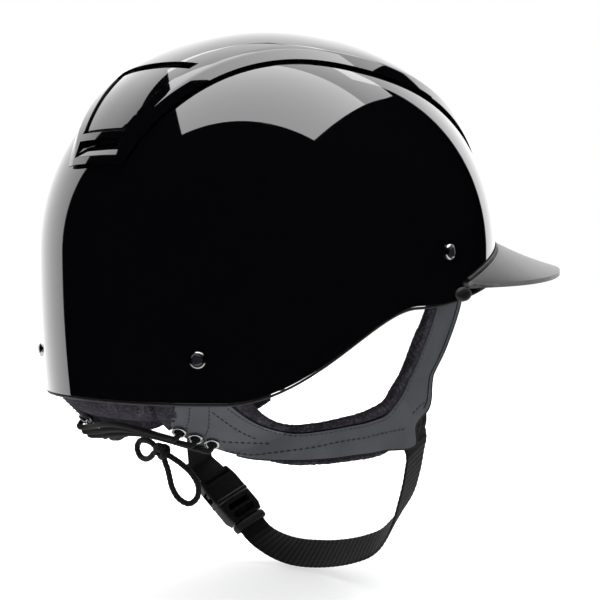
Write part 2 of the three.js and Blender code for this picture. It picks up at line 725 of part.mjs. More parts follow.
const CAVITY_HALF = 11.3;
const CAVITY_THICK = 2.5;
const WINDOW = [8.5, 16];
const halfWidth = BUCKLE_WIDTH / 2;
const halfThick = BUCKLE_THICK / 2;
const BAR_ROOM = 7;
const female = cut(block(0, FEMALE_LENGTH, halfWidth, halfThick),
  block(-1, BAR_ROOM, WEBBING_WIDTH / 2 + 0.5, halfThick + 1),
  block(BAR_ROOM + 1.6, FEMALE_LENGTH + 1, CAVITY_HALF, CAVITY_THICK),
  block(WINDOW[0], WINDOW[1], halfWidth + 1, CAVITY_THICK));
const bar = new THREE.CylinderGeometry(1.2, 1.2, BUCKLE_WIDTH - 2, 12).translate(BAR_AT, 0, 0);
add('buckle_female', join(female, bar), matte, buckle);

const maleStart = FEMALE_LENGTH + 0.4;
const maleEnd = FEMALE_LENGTH + MALE_LENGTH;
const male = cut(join(block(maleStart, maleEnd, halfWidth, halfThick), block(13, maleStart + 1, 2.6, 1.8)),
  block(webbingStart - RELEASE_TRAVEL - 0.4, maleEnd + 1, WEBBING_WIDTH / 2 + 0.5, WEBBING / 2 + 0.5));
add('buckle_male', male, matte, buckle);

const PRONG_ROOT = FEMALE_LENGTH - 0.2;
function prong(sign) {
  const outline = new THREE.Shape([
    [PRONG_ROOT, 8], [PRONG_ROOT, 10.6], [13, 10.8], [12.4, 12.7], [9.6, 12.3], [9.2, 10.8], [9.2, 8.6],
  ].map(([x, y]) => new THREE.Vector2(x, sign * y)));
  const g = new THREE.ExtrudeGeometry(outline, { depth: 3.6, bevelEnabled: false });
  return welded(g.translate(0, 0, -1.8));
}
add('buckle_prong_front', prong(-1), matte, buckle);
add('buckle_prong_rear', prong(1), matte, buckle);

const ringStart = maleEnd + 0.6;
const ring = cut(block(ringStart, ringStart + RING_LENGTH, WEBBING_WIDTH / 2 + 3, 3.6),
  block(ringStart - 1, ringStart + RING_LENGTH + 1, WEBBING_WIDTH / 2 + 0.7, 1.5));
add('keeper_ring', ring, matte, buckle);

// ---------------------------------------------------------------- the bow of the nape lace

const KNOT = vec(-27, 107.5, -101.5);
const knot = welded(new THREE.SphereGeometry(1, 12, 8).scale(5, 3.8, 4.2));
add('lace_knot', knot.translate(KNOT.x, KNOT.y, KNOT.z), webbing);
const bow = (route, steps) => cord(route.map(([x, y, z]) => [KNOT.x + x, KNOT.y + y, KNOT.z + z]), steps);
const LARGE_LOOP = [
  [-2.4, 0.2, -5.4], [-3.6, -0.4, -8.8], [-4.4, -1, -13], [-5.4, -2, -18.5], [-8.6, -4, -24], [-13.4, -6.6, -26],
  [-17, -8.6, -22.5], [-17.4, -8.8, -16.5], [-14.4, -7, -10.5], [-10, -4.6, -6.2], [-6.8, -2.8, -3.8],
];
const SMALL_LOOP = [
  [5.8, 0.4, -1], [9, 0.2, -3.6], [14, -0.4, -5.2], [19.4, -1, -4], [21.6, -1, 0], [19.4, -1, 3.6],
  [14, -0.6, 4.4], [9, 0, 3.8], [5.8, 0.4, 2.6],
];
add('lace_loop_large', bow(LARGE_LOOP, 22), webbing);
add('lace_loop_small', bow(SMALL_LOOP, 16), webbing);

export default helmet;
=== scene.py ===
"""The looks of an equestrian riding helmet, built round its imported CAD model.

Lengths are in millimetres until a mesh is made. Z is up, the peak points to -Y, the wearer's right is -X.
"""
import math

import bmesh
import bpy
from mathutils import Matrix, Vector, noise


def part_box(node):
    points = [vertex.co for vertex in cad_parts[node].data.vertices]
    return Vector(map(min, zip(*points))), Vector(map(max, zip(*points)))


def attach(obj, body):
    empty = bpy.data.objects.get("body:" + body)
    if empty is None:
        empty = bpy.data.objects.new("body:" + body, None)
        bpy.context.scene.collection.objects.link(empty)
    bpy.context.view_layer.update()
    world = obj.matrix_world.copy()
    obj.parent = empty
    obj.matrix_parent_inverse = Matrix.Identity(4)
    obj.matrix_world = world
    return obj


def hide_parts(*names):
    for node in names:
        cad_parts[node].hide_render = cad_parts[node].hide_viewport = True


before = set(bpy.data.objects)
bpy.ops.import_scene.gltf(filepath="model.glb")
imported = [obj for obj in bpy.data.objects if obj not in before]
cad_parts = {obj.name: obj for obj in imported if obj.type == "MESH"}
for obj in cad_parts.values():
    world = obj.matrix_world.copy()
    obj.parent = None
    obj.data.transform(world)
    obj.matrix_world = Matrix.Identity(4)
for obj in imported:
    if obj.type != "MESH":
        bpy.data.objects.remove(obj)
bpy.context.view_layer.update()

# ---------------------------------------------------------------- sizes

MM = 0.001
SHELL_LOW, SHELL_HIGH = (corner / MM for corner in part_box("outer_shell"))

HALF_WIDTH = SHELL_HIGH.x
REAR = SHELL_HIGH.y
FRONT = -SHELL_LOW.y
HEIGHT = SHELL_HIGH.z
REAR_SQUARENESS = 2.289             # superellipse exponents of the plan
FRONT_SQUARENESS = 2.13
CROWN_POWER, CROWN_ROOT = 2.018, 2.167      # exponents of the profile above z = 0
SKIRT_TUCK, SKIRT_DEPTH = 0.031, 78.9       # below it the plan is that share smaller at that depth
SHELL_THICKNESS = 3
LINER_OUTER = 8.3                   # layers are insets from the shell's outer face
LINER_INNER = 24
PAD_INSET = LINER_INNER + 1.4
PAD_THICKNESS = 5
PAD_HEIGHT = 36
CHANNEL_AT, CHANNEL_DEEP = 33, 3    # vent channels in the liner, each side of its middle
CROWN_PAD_SPAN = (60, 124)          # degrees over the top
CROWN_PAD_HALF = 34

RIM_REAR_Z = -74
RIM_SIDE_RISE = 46
RIM_FRONT_RISE = 14

PANEL_START, PANEL_END = 19, 168    # degrees over the top from the rear horizon
PANEL_FOOT = 1.1
PANEL_TOP = 4
PANEL_BEVEL = 6
PANEL_REAR_HALF, PANEL_SWELL = 22, 48       # half its width at the rear, and what it gains
PANEL_SWELL_SPAN = 91               # over that many degrees
VENT_START, VENT_END = 27, 47
VENT_NARROW, VENT_WIDE = 15.5, 29
GROOVE = 0.8                        # open slot down each side of the vent insert
VENT_SLOT = 1.6                     # degrees of open slot above it
VENT_SEAM = 0.6                     # degrees of gap below it
EXHAUST = (20.8, 24.6)
EXHAUST_HALF = 17
GRILLE = (150, 161)
GRILLE_HALF = 24

PEAK_FROM, PEAK_TO = 112, 248       # degrees round the plan
PEAK_HALF_WIDTH = 103
PEAK_ROOT_Y = -40
PEAK_ROOT_Z, PEAK_ROOT_RISE = -17, 28.5     # height on the shell at the corner, and up to the middle
PEAK_ROOT_FROM = 111
PEAK_REACH = 157
PEAK_SQUARENESS = 2.7
PEAK_THICKNESS = 1.8
PEAK_LIP = 0.8
CORNER_PAD_PHI = (106.3, 114.6)
CORNER_PAD_Z = (-26.6, -18.6)
CORNER_PAD_PROUD = 2.8

NAPE_PAD_REACH = 15.5               # degrees round the plan each side of the middle
LEATHER = 2
LINING = 3
LINING_LIFT = 1.1
LEATHER_SHARE = 0.8
HARNESS_INSET = 4.1
NAPE_SLOPE, NAPE_DRAW = 0.95, 24    # how the harness draws in below the rim, and at most how far
CHEEK_SLOPE, CHEEK_DRAW = 0.2, 8
JUNCTION = 6.5 / 17
RIVETS = {"rear": (28.9, -52.5), "front": (103, 0.2)}
RIVET_R = 4.3
EYELETS = [(20.3, -90.2), (23.8, -93.6), (27.6, -96.6)]
EYELET_R = 4
EYELET_HOLE_R = 2.5
LACE_R = 1.5

AXIS = Vector((0, -18, -104))       # the line that the chin strap swings about
STRAP_TILT = 20
WEBBING_WIDTH = 20
WEBBING = 1.5
WEBBING_LENGTH, TAB_LENGTH = 270, 110
ANCHOR_PHI, ANCHOR_Z = (94.6, 104.8), (-104, -80)
STRAP_CONE = 26
STRAP_CONE_SIDE = 9
BUCKLE_TOP = Vector((91, 0, -38))
BUCKLE_WAY = Vector((-0.646, 0, -0.763)).normalized()
BUCKLE_WIDTH = 27
BUCKLE_THICK = 8.4
FEMALE_LENGTH = 20
MALE_LENGTH = 15
RING_LENGTH = 5
RELEASE_TRAVEL = 6

SIDES = {"right": 1, "left": -1}


# ---------------------------------------------------------------- small sums

def mix(a, b, t):
    return a + (b - a) * t


def smooth(value, low, high):
    t = min(max((value - low) / (high - low), 0), 1)
    return t * t * (3 - 2 * t)


def sin(degrees):
    return math.sin(math.radians(degrees))


def cos(degrees):
    return math.cos(math.radians(degrees))


class Spline:
    """A centripetal Catmull-Rom curve through points."""

    def __init__(self, points):
        self.points = [Vector(p) for p in points]

    def at(self, t):
        points = self.points
        last = len(points) - 1
        place = min(max(t, 0), 1) * last
        i = min(int(place), last - 1)
        s = place - i
        before = points[i - 1] if i else 2 * points[0] - points[1]
        after = points[i + 2] if i + 2 <= last else 2 * points[-1] - points[-2]
        a, b = points[i], points[i + 1]
        gaps = [max((q - p).length ** 0.5, 1e-4) for p, q in ((before, a), (a, b), (b, after))]
        leave = (a - before) / gaps[0] - (b - before) / (gaps[0] + gaps[1]) + (b - a) / gaps[1]
        arrive = (b - a) / gaps[1] - (after - a) / (gaps[1] + gaps[2]) + (after - b) / gaps[2]
        leave *= gaps[1]
        arrive *= gaps[1]
        square = 3 * (b - a) - 2 * leave - arrive
        cube = 2 * (a - b) + leave + arrive
        return a + leave * s + square * s * s + cube * s ** 3

    def line(self, steps):
        return [self.at(i / steps) for i in range(steps + 1)]


def evenly(points, gap):
    """Points spaced evenly along a line of points, about gap apart."""
    lengths = [0]
    for p, q in zip(points, points[1:]):
        lengths.append(lengths[-1] + (q - p).length)
    count = max(1, round(lengths[-1] / gap))
    made = []
    i = 0
    for k in range(count + 1):
        target = lengths[-1] * k / count
        while i < len(points) - 2 and lengths[i + 1] < target:
            i += 1
        share = (target - lengths[i]) / max(lengths[i + 1] - lengths[i], 1e-9)
        made.append(points[i].lerp(points[i + 1], share))
    return made


# ---------------------------------------------------------------- the dome

def plan_radius(phi, inset):
    """Radius of the plan at phi, in degrees from the rear towards the wearer's right."""
    c = cos(phi)
    n = REAR_SQUARENESS if c >= 0 else FRONT_SQUARENESS
    deep = (REAR if c >= 0 else FRONT) - inset
    return ((abs(sin(phi)) / (HALF_WIDTH - inset)) ** n + (abs(c) / deep) ** n) ** (-1 / n)


def shrink(z, inset):
    """How much the plan has shrunk at height z."""
    if z < 0:
        return 1 - SKIRT_TUCK * (z / SKIRT_DEPTH) ** 2
    return max(0, 1 - (z / (HEIGHT - inset)) ** CROWN_POWER) ** (1 / CROWN_ROOT)


def on_dome(phi, z, inset):
    r = plan_radius(phi, inset) * shrink(z, inset)
    return Vector((-r * sin(phi), r * cos(phi), z))


def rim_z(phi):
    side = abs((phi + 180) % 360 - 180)
    return RIM_REAR_Z + RIM_SIDE_RISE * smooth(side, 34, 90) + RIM_FRONT_RISE * smooth(side, 90, 150)


def dome_row(phi, t, inset, lift):
    """A point of the dome from the rim, t = 0, to the crown, t = 1."""
    skirt = 0.3
    foot = rim_z(phi) + lift
    if t < skirt:
        return on_dome(phi, mix(foot, 0, t / skirt), inset)
    return on_dome(phi, (HEIGHT - inset) * sin(90 * (t - skirt) / (1 - skirt)), inset)


def over_top(alpha, x, inset):
    """A point of the dome at angle alpha over the top and x to the side."""
    c, s = cos(alpha), sin(alpha)
    n = REAR_SQUARENESS if c >= 0 else FRONT_SQUARENESS
    deep = (REAR if c >= 0 else FRONT) - inset
    side = (abs(x) / (HALF_WIDTH - inset)) ** n
    low, high = 0, 200
    for _ in range(28):
        r = (low + high) / 2
        if (side + (abs(r * c) / deep) ** n) ** (1 / n) > shrink(r * s, inset):
            high = r
        else:
            low = r
    return Vector((x, low * c, low * s))


def dome_normal(phi, z):
    across = on_dome(phi + 0.5, z, 0) - on_dome(phi - 0.5, z, 0)
    up = on_dome(phi, z + 0.5, 0) - on_dome(phi, z - 0.5, 0)
    normal = across.cross(up).normalized()
    return normal if normal.dot(on_dome(phi, 0, 0)) > 0 else -normal


# ---------------------------------------------------------------- meshes

def slab(nu, nv, outer, inner, wraps=False, hole=None):
    """The solid between two surfaces over u, v in 0..1, less each cell where hole(i, j) is true."""
    vertices = []
    for surface in (outer, inner):
        for i in range(nu + 1):
            vertices += [surface(i / nu, j / nv) for j in range(nv + 1)]

    def at(side, i, j):
        return (side * (nu + 1) + (i % nu if wraps else i)) * (nv + 1) + j

    def solid(i, j):
        if wraps:
            i %= nu
        return 0 <= i < nu and 0 <= j < nv and not (hole and hole(i, j))

    faces = []
    for i in range(nu):
        for j in range(nv):
            if not solid(i, j):
                continue
            corners = [(i, j), (i + 1, j), (i + 1, j + 1), (i, j + 1)]
            faces.append([at(0, *c) for c in corners])
            faces.append([at(1, *c) for c in reversed(corners)])
            beside = [(i, j - 1), (i + 1, j), (i, j + 1), (i - 1, j)]
            for k, cell in enumerate(beside):
                if not solid(*cell):
                    a, b = corners[k], corners[(k + 1) % 4]
                    faces.append([at(0, *b), at(0, *a), at(1, *a), at(1, *b)])
    return vertices, faces


def loft(rings, loops=False):
    """Vertices and faces of a body through rings of points, which closes on itself or is capped."""
    n = len(rings[0])
    vertices = [p for ring in rings for p in ring]
    faces = []
    for i in range(len(rings) if loops else len(rings) - 1):
        a, b = i * n, (i + 1) % len(rings) * n
        for j in range(n):
            k = (j + 1) % n
            faces.append([a + j, b + j, b + k, a + k])
    if not loops:
        faces.append(list(range(n)))
        faces.append([(len(rings) - 1) * n + j for j in reversed(range(n))])
    return vertices, faces


def turned(profile, segments=48):
    """A body turned about Z from (radius, height) points that start and end on the axis or form a ring."""
    rings = []
    for k in range(segments):
        turn = 360 * k / segments
        rings.append([Vector((r * cos(turn), r * sin(turn), z)) for r, z in profile])
    return loft(rings, loops=True)


def merged(*shapes):
    """Several shapes' vertices and faces as one."""
    vertices, faces = [], []
    for more_vertices, more_faces in shapes:
        start = len(vertices)
        vertices += more_vertices
        faces += [[start + i for i in face] for face in more_faces]
    return vertices, faces


def moved(shape, matrix):
    vertices, faces = shape
    return [matrix @ v for v in vertices], faces


def facing(point, normal):
    """The matrix that puts Z along normal at point."""
    return Matrix.Translation(point) @ Vector((0, 0, 1)).rotation_difference(normal).to_matrix().to_4x4()


def raw_object(name, shape):
    """An object from vertices in millimetres and faces."""
    vertices, faces = shape
    mesh = bpy.data.meshes.new(name)
    mesh.from_pydata([v * MM for v in vertices], [], faces)
    obj = bpy.data.objects.new(name, mesh)
    bpy.context.scene.collection.objects.link(obj)
    return obj


def clean(mesh, weld):
    """Turns a mesh's faces outwards and shades it smooth; weld joins its doubled vertices first."""
    work = bmesh.new()
    work.from_mesh(mesh)
    if weld:
        bmesh.ops.remove_doubles(work, verts=work.verts, dist=0.004 * MM)
        bmesh.ops.dissolve_degenerate(work, edges=work.edges, dist=0.002 * MM)
    bmesh.ops.recalc_face_normals(work, faces=work.faces)
    work.to_mesh(mesh)
    work.free()
    mesh.shade_smooth()


def bare(name, shape, sharp=40):
    """A clean object that rides on no CAD body yet, with edges sharper than that angle left sharp."""
    obj = raw_object(name, shape)
    clean(obj.data, weld=True)
    obj.data.set_sharp_from_angle(angle=math.radians(sharp))
    return obj


def piece(name, shape, look, body="helmet", replaces=(), bevel=0, sharp=40):
    """A piece of the helmet: its mesh, its finish and the CAD body that it rides on."""
    obj = shape if isinstance(shape, bpy.types.Object) else bare(name, shape, sharp)
    obj.name = name
    obj.data.materials.clear()
    obj.data.materials.append(look)
    if bevel:
        soften(obj, bevel, sharp)
    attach(obj, body)
    if replaces:
        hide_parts(*([replaces] if isinstance(replaces, str) else replaces))
    return obj


def soften(obj, width, sharp=40):
    """Rounds an object's sharp edges."""
    bevel = obj.modifiers.new("edges", "BEVEL")
    bevel.width = width * MM
    bevel.segments = 3
    bevel.limit_method = "ANGLE"
    bevel.angle_limit = math.radians(sharp)
    bevel.harden_normals = True
    bevel.use_clamp_overlap = True


def apply_modifiers(obj):
    graph = bpy.context.evaluated_depsgraph_get()
    mesh = bpy.data.meshes.new_from_object(obj.evaluated_get(graph))
    obj.modifiers.clear()
    old = obj.data
    obj.data = mesh
    bpy.data.meshes.remove(old)


def carve(obj, *tools):
    """Cuts tool shapes out of an object."""
    for shape in tools:
        tool = bare("tool", shape)
        cut = obj.modifiers.new("cut", "BOOLEAN")
        cut.object = tool
        cut.solver = "EXACT"
        apply_modifiers(obj)
        bpy.data.objects.remove(tool)


# ---------------------------------------------------------------- cords, straps and stitches

def tube(points, radius, sides=14, bulge=0, pitch=1):
    """A round tube along points, with its own UVs: round it and along it, in millimetres."""
    rings, marks = [], []
    side = Vector((0.3, 0.5, 0.8))
    run = 0
    for i, p in enumerate(points):
        ahead = points[min(i + 1, len(points) - 1)]
        behind = points[max(i - 1, 0)]
        run += (p - behind).length
        tangent = (ahead - behind).normalized()
        side = (side - tangent * side.dot(tangent)).normalized()
        other = tangent.cross(side)
        ring = []
        for k in range(sides):
            turn = 360 * k / sides
            r = radius + bulge * sin(360 * run / pitch + turn)
            ring.append(p + side * (r * cos(turn)) + other * (r * sin(turn)))
        rings.append(ring)
        marks += [(2 * math.pi * radius * k / sides, run) for k in range(sides)]
    return loft(rings), marks


def put_uv(obj, marks, around=0):
    """Gives each corner the UV of its vertex; around closes the seam of a tube of that girth."""
    layer = obj.data.uv_layers.new(name="along")
    for polygon in obj.data.polygons:
        loops = list(polygon.loop_indices)
        found = [marks[obj.data.loops[k].vertex_index] for k in loops]
        widest = max(u for u, _ in found)
        for k, (u, v) in zip(loops, found):
            if around and widest - u > around / 2:
                u += around
            layer.data[k].uv = (u, v)


def woven(name, shape, marks, around=0):
    """A cord or strap as an object, with a UV for each vertex."""
    obj = raw_object(name, shape)
    put_uv(obj, marks, around)
    clean(obj.data, weld=False)
    return obj


def cord_mesh(name, points, radius, sides=14, bulge=0, pitch=1):
    """A cord as an object, with UVs."""
    shape, marks = tube(points, radius, sides, bulge, pitch)
    return woven(name, shape, marks, 2 * math.pi * radius)


def flat_section(width, thickness):
    """(across, out) points round a flat strap's rounded section."""
    half, thick = width / 2, thickness / 2
    edge = thick * 0.9
    top = [(mix(-half + edge, half - edge, k / 10), thick) for k in range(11)]
    round_end = [(half - edge + edge * cos(turn), thick * sin(turn)) for turn in (55, 20, -20, -55)]
    other = [(-x, -y) for x, y in top]
    far_end = [(-x, -y) for x, y in round_end]
    return top + round_end + other + far_end


def strap_mesh(name, spline, length, width, thickness, cone, rib=0, pitch=4):
    """A flat strap along a curve of the strap's plane; cone(t) turns its face, and ribs cross it."""
    section = flat_section(width, thickness)
    steps = int(length / 0.6)
    centre = Vector((10, 0, -30))
    rings, marks = [], []
    run = 0
    last = None
    for i in range(steps + 1):
        t = i / steps
        p = spline.at(t)
        tangent = (spline.at(min(t + 0.002, 1)) - spline.at(max(t - 0.002, 0))).normalized()
        out = Vector((-tangent.z, 0, tangent.x)).normalized()
        if out.dot(p - centre) < 0:
            out.negate()
        turn = cone(t)
        wide = Vector((0, cos(turn), 0)) + out * sin(turn)
        thick = out * cos(turn) - Vector((0, sin(turn), 0))
        run += (p - last).length if last else 0
        last = p
        for x, y in section:
            on_face_side = abs(y) > thickness * 0.3
            swell = rib * (0.5 + 0.5 * math.sin(2 * math.pi * run / pitch)) if on_face_side else 0
            marks.append((x + (0 if y > 0 else width + thickness), run))
            y += math.copysign(swell, y)
            rings.append(p + wide * x + thick * y)
    n = len(section)
    return woven(name, loft([rings[k * n:(k + 1) * n] for k in range(steps + 1)]), marks)


# One stitch: place along it, thickness and height, with its ends sunk in the cloth.
STITCH_SHAPE = ((-1, 0.35, -0.6), (-0.82, 0.85, 0), (-0.3, 1, 0.35),
                (0.3, 1, 0.35), (0.82, 0.85, 0), (1, 0.35, -0.6))


def stitches(line, out, length=2.2, gap=0.9, radius=0.32):
    """A row of short threads along line, on a surface whose outward way at a point is out(point)."""
    shapes = []
    marks = evenly(line, (length + gap) / 2)
    for k in range(0, len(marks) - 1, 2):
        a, b = marks[k], marks[k + 1]
        way = (b - a).normalized()
        normal = out((a + b) / 2)
        normal = (normal - way * normal.dot(way)).normalized()
        side = normal.cross(way)
        middle = (a + b) / 2
        rings = []
        for s, r, lift in STITCH_SHAPE:
            centre = middle + way * (s * length / 2) + normal * (lift * radius - 0.1)
            ring = [centre + (side * cos(t) + normal * sin(t)) * (r * radius) for t in range(0, 360, 60)]
            rings.append(ring)
        shapes.append(loft(rings))
    return merged(*shapes)


# ---------------------------------------------------------------- finishes

class Look:
    """A material's Principled shader, with short ways to add texture nodes measured in millimetres."""

    def __init__(self, name, roughness, uv=False, **sockets):
        self.material = bpy.data.materials.new(name)
        self.material.use_nodes = True
        self.tree = self.material.node_tree
        self.shader = self.tree.nodes["Principled BSDF"]
        self.set("Roughness", roughness)
        for socket, value in sockets.items():
            self.set(socket.replace("_", " "), value)
        place = self.node("TexCoord").outputs["UV" if uv else "Object"]
        size = 1 if uv else 1 / MM
        self.place = self.node("VectorMath", {0: place, 1: (size,) * 3}, operation="MULTIPLY").outputs[0]
        self.normal = None

    def feed(self, target, value):
        """Gives an input a value of its own, or the output that it comes from."""
        if isinstance(value, bpy.types.NodeSocket):
            self.tree.links.new(value, target)
        else:
            target.default_value = value

    def node(self, kind, values=None, **settings):
        made = self.tree.nodes.new("ShaderNode" + kind)
        for key, value in settings.items():
            setattr(made, key, value)
        for key, value in (values or {}).items():
            self.feed(made.inputs[key], value)
        return made

    def set(self, socket, value):
        self.feed(self.shader.inputs[socket], value)

    def stretched(self, x, y, z=1):
        return self.node("VectorMath", {0: self.place, 1: (x, y, z)}, operation="MULTIPLY").outputs[0]

    def noise(self, size, detail=3, place=None, roughness=0.5):
        values = {"Vector": place or self.place, "Scale": 1 / size}
        values |= {"Detail": detail, "Roughness": roughness}
        return self.node("TexNoise", values).outputs["Fac"]

    def cells(self, size, feature="F1"):
        values = {"Vector": self.place, "Scale": 1 / size}
        return self.node("TexVoronoi", values, feature=feature).outputs["Distance"]

    def wave(self, pitch, direction="X", place=None, distortion=0):
        values = {"Vector": place or self.place, "Scale": math.pi / 10 / pitch, "Distortion": distortion}
        return self.node("TexWave", values, bands_direction=direction).outputs["Fac"]

    def sum(self, a, b, operation="ADD"):
        return self.node("Math", {0: a, 1: b}, operation=operation).outputs[0]

    def spread(self, value, low, high, start=0, end=1):
        """value from start..end carried to low..high."""
        values = {"Value": value, "From Min": start, "From Max": end, "To Min": low, "To Max": high}
        return self.node("MapRange", values).outputs["Result"]

    def colours(self, value, *stops):
        """A colour for value, through (place, colour) stops."""
        ramp = self.node("ValToRGB", {"Fac": value})
        elements = ramp.color_ramp.elements
        while len(elements) < len(stops):
            elements.new(0.5)
        for element, (place, colour) in zip(elements, stops):
            element.position = place
            element.color = (*colour, 1)
        return ramp.outputs["Color"]

    def blended(self, share, a, b):
        """Colour a turning into colour b as share goes from 0 to 1."""
        a, b = (c if isinstance(c, bpy.types.NodeSocket) else (*c, 1) for c in (a, b))
        return self.node("Mix", {0: share, 6: a, 7: b}, data_type="RGBA").outputs[2]

    def bump(self, height, depth):
        """Adds relief of that depth, on top of any before."""
        values = {"Height": height, "Distance": depth * MM, "Strength": 1}
        if self.normal:
            values["Normal"] = self.normal
        self.normal = self.node("Bump", values).outputs["Normal"]
        self.set("Normal", self.normal)

    def worn(self, colour, pale, amount=0.5):
        """colour, paler where the surface is most convex."""
        point = self.node("NewGeometry").outputs["Pointiness"]
        edge = self.spread(point, 0, amount, 0.53, 0.62)
        return self.blended(self.sum(edge, self.noise(2.5, 4), "MULTIPLY"), colour, pale)


def grey(level, blue=1.0):
    return (level, level, level * blue)


def gloss_lacquer(name, deep=0.0008, ripple=0.004):
    look = Look(name, 0.05, IOR=1.52, Coat_Weight=0.6, Coat_Roughness=0.02)
    fleck = look.noise(0.35, 2)
    look.set("Base Color", look.colours(fleck, (0.35, grey(deep, 1.2)), (0.75, grey(deep * 2.2, 1.5))))
    smear = look.noise(26, 4, look.stretched(1, 1, 0.4))
    dust = look.noise(0.8, 5, roughness=0.7)
    rough = look.sum(look.spread(smear, 0.02, 0.07, 0.4, 0.8), look.spread(dust, 0, 0.06, 0.62, 0.85))
    look.set("Roughness", rough)
    look.bump(look.noise(7, 2), ripple)
    return look.material


def satin_paint():
    look = Look("satin_paint", 0.5, IOR=1.7, Sheen_Weight=0.25, Sheen_Roughness=0.5)
    tone = look.colours(look.noise(18, 5), (0.3, grey(0.036)), (0.75, grey(0.046, 1.1)))
    look.set("Base Color", look.worn(tone, grey(0.13)))
    look.set("Roughness", look.spread(look.noise(1.2, 4), 0.44, 0.56, 0.3, 0.7))
    look.bump(look.noise(0.5, 2), 0.02)
    look.bump(look.cells(0.8), 0.012)
    return look.material


def leather():
    look = Look("slate_leather", 0.55, IOR=1.45, Specular_IOR_Level=0.35)
    creases = look.cells(0.9, "DISTANCE_TO_EDGE")
    broad = look.noise(22, 5)
    pores = look.noise(0.45, 3)
    tone = look.colours(broad, (0.25, (0.041, 0.044, 0.051)), (0.5, (0.053, 0.057, 0.065)),
                        (0.8, (0.066, 0.07, 0.079)))
    shaded = look.blended(look.spread(creases, 0.45, 0, 0, 0.12), tone, (0.03, 0.034, 0.038))
    look.set("Base Color", look.worn(shaded, (0.13, 0.14, 0.15), 0.7))
    look.set("Roughness", look.spread(look.sum(pores, broad, "MULTIPLY"), 0.46, 0.66, 0.1, 0.45))
    look.bump(look.spread(creases, 0, 1, 0, 0.3), 0.06)
    look.bump(pores, 0.05)
    look.bump(broad, 0.5)
    return look.material


def fleece():
    look = Look("pile_fleece", 0.95, Sheen_Weight=0.08, Sheen_Roughness=0.6, Specular_IOR_Level=0.1)
    look.set("Sheen Tint", (0.75, 0.7, 0.85, 1))
    tufts = look.noise(1.5, 5, roughness=0.8)
    broad = look.spread(look.noise(9, 3), 0.9, 1.1, 0.3, 0.7)
    tone = look.colours(look.sum(tufts, broad, "MULTIPLY"), (0.42, (0.0015, 0.0015, 0.002)),
                        (0.5, (0.008, 0.007, 0.01)), (0.6, (0.042, 0.036, 0.05)))
    look.set("Base Color", tone)
    look.bump(tufts, 1.3)
    look.bump(look.noise(0.4, 2), 0.25)
    return look.material


def webbing_cloth(name="woven_webbing", pitch=4, level=0.0045, uv=True):
    look = Look(name, 0.75, uv=uv, Sheen_Weight=0.05, Sheen_Roughness=0.5, Specular_IOR_Level=0.16)
    rib = look.wave(pitch, "Y")
    warp = look.wave(0.9, "X", distortion=0.4)
    weft = look.wave(0.7, "Y")
    thread = look.sum(warp, weft, "MULTIPLY")
    fuzz = look.noise(0.35, 3)
    tone = look.colours(look.sum(thread, fuzz, "MULTIPLY"), (0.02, grey(level * 0.3)), (0.4, grey(level)),
                        (0.8, grey(level * 2.6)))
    look.set("Base Color", look.blended(look.spread(rib, 0.35, 0, 0, 0.5), tone, grey(level * 0.25)))
    look.set("Roughness", look.spread(fuzz, 0.62, 0.85, 0.3, 0.7))
    look.bump(rib, 0.25)
    look.bump(thread, 0.22)
    return look.material


def braided_cord():
    look = Look("braided_cord", 0.7, uv=True, Sheen_Weight=0.04, Specular_IOR_Level=0.2)
    one = look.wave(1.1, "DIAGONAL", look.stretched(1, 1, 0))
    other = look.wave(1.1, "DIAGONAL", look.stretched(-1, 1, 0))
    braid = look.sum(one, other, "MAXIMUM")
    fuzz = look.noise(0.3, 3)
    look.set("Base Color", look.colours(look.sum(braid, fuzz, "MULTIPLY"), (0.1, grey(0.002)),
                                        (0.45, grey(0.005)), (0.75, grey(0.013))))
    look.set("Roughness", look.spread(fuzz, 0.55, 0.85))
    look.bump(braid, 0.22)
    return look.material


def bright_steel():
    look = Look("bright_steel", 0.14, Metallic=1.0)
    stain = look.noise(1.6, 4)
    look.set("Base Color", look.colours(stain, (0.3, (0.62, 0.62, 0.63)), (0.7, (0.8, 0.8, 0.79))))
    scratch = look.noise(0.5, 4, look.stretched(1, 0.15, 1))
    look.set("Roughness", look.spread(scratch, 0.08, 0.26, 0.35, 0.75))
    look.bump(scratch, 0.006)
    return look.material


def moulded_plastic(name="moulded_plastic", level=0.005, roughness=0.3, grain=0.02):
    look = Look(name, roughness, IOR=1.48)
    speck = look.noise(0.45, 3)
    broad = look.noise(6, 4)
    tone = look.colours(broad, (0.3, grey(level)), (0.8, grey(level * 1.6)))
    look.set("Base Color", look.worn(tone, grey(0.07)))
    look.set("Roughness", look.spread(speck, roughness - 0.07, roughness + 0.12, 0.3, 0.7))
    look.bump(speck, grain)
    return look.material


def soft_rubber():
    look = Look("soft_rubber", 0.5, IOR=1.45)
    speck = look.noise(0.7, 3)
    tone = look.colours(speck, (0.3, grey(0.009)), (0.8, grey(0.017)))
    look.set("Base Color", look.worn(tone, grey(0.05)))
    look.set("Roughness", look.spread(look.noise(5, 4), 0.4, 0.62, 0.3, 0.7))
    look.bump(speck, 0.04)
    return look.material


def bead_foam():
    look = Look("bead_foam", 0.85, Specular_IOR_Level=0.3)
    bead = look.cells(3.2)
    seam = look.cells(3.2, "DISTANCE_TO_EDGE")
    tone = look.colours(look.noise(3, 2), (0.3, grey(0.014)), (0.7, grey(0.026)))
    look.set("Base Color", look.blended(look.spread(seam, 0.8, 0, 0, 0.14), tone, grey(0.004)))
    look.set("Roughness", look.spread(look.noise(1.5, 3), 0.7, 0.95))
    look.bump(look.spread(seam, 0, 1, 0, 0.25), 0.25)
    look.bump(look.spread(bead, 1, 0), 0.3)
    return look.material


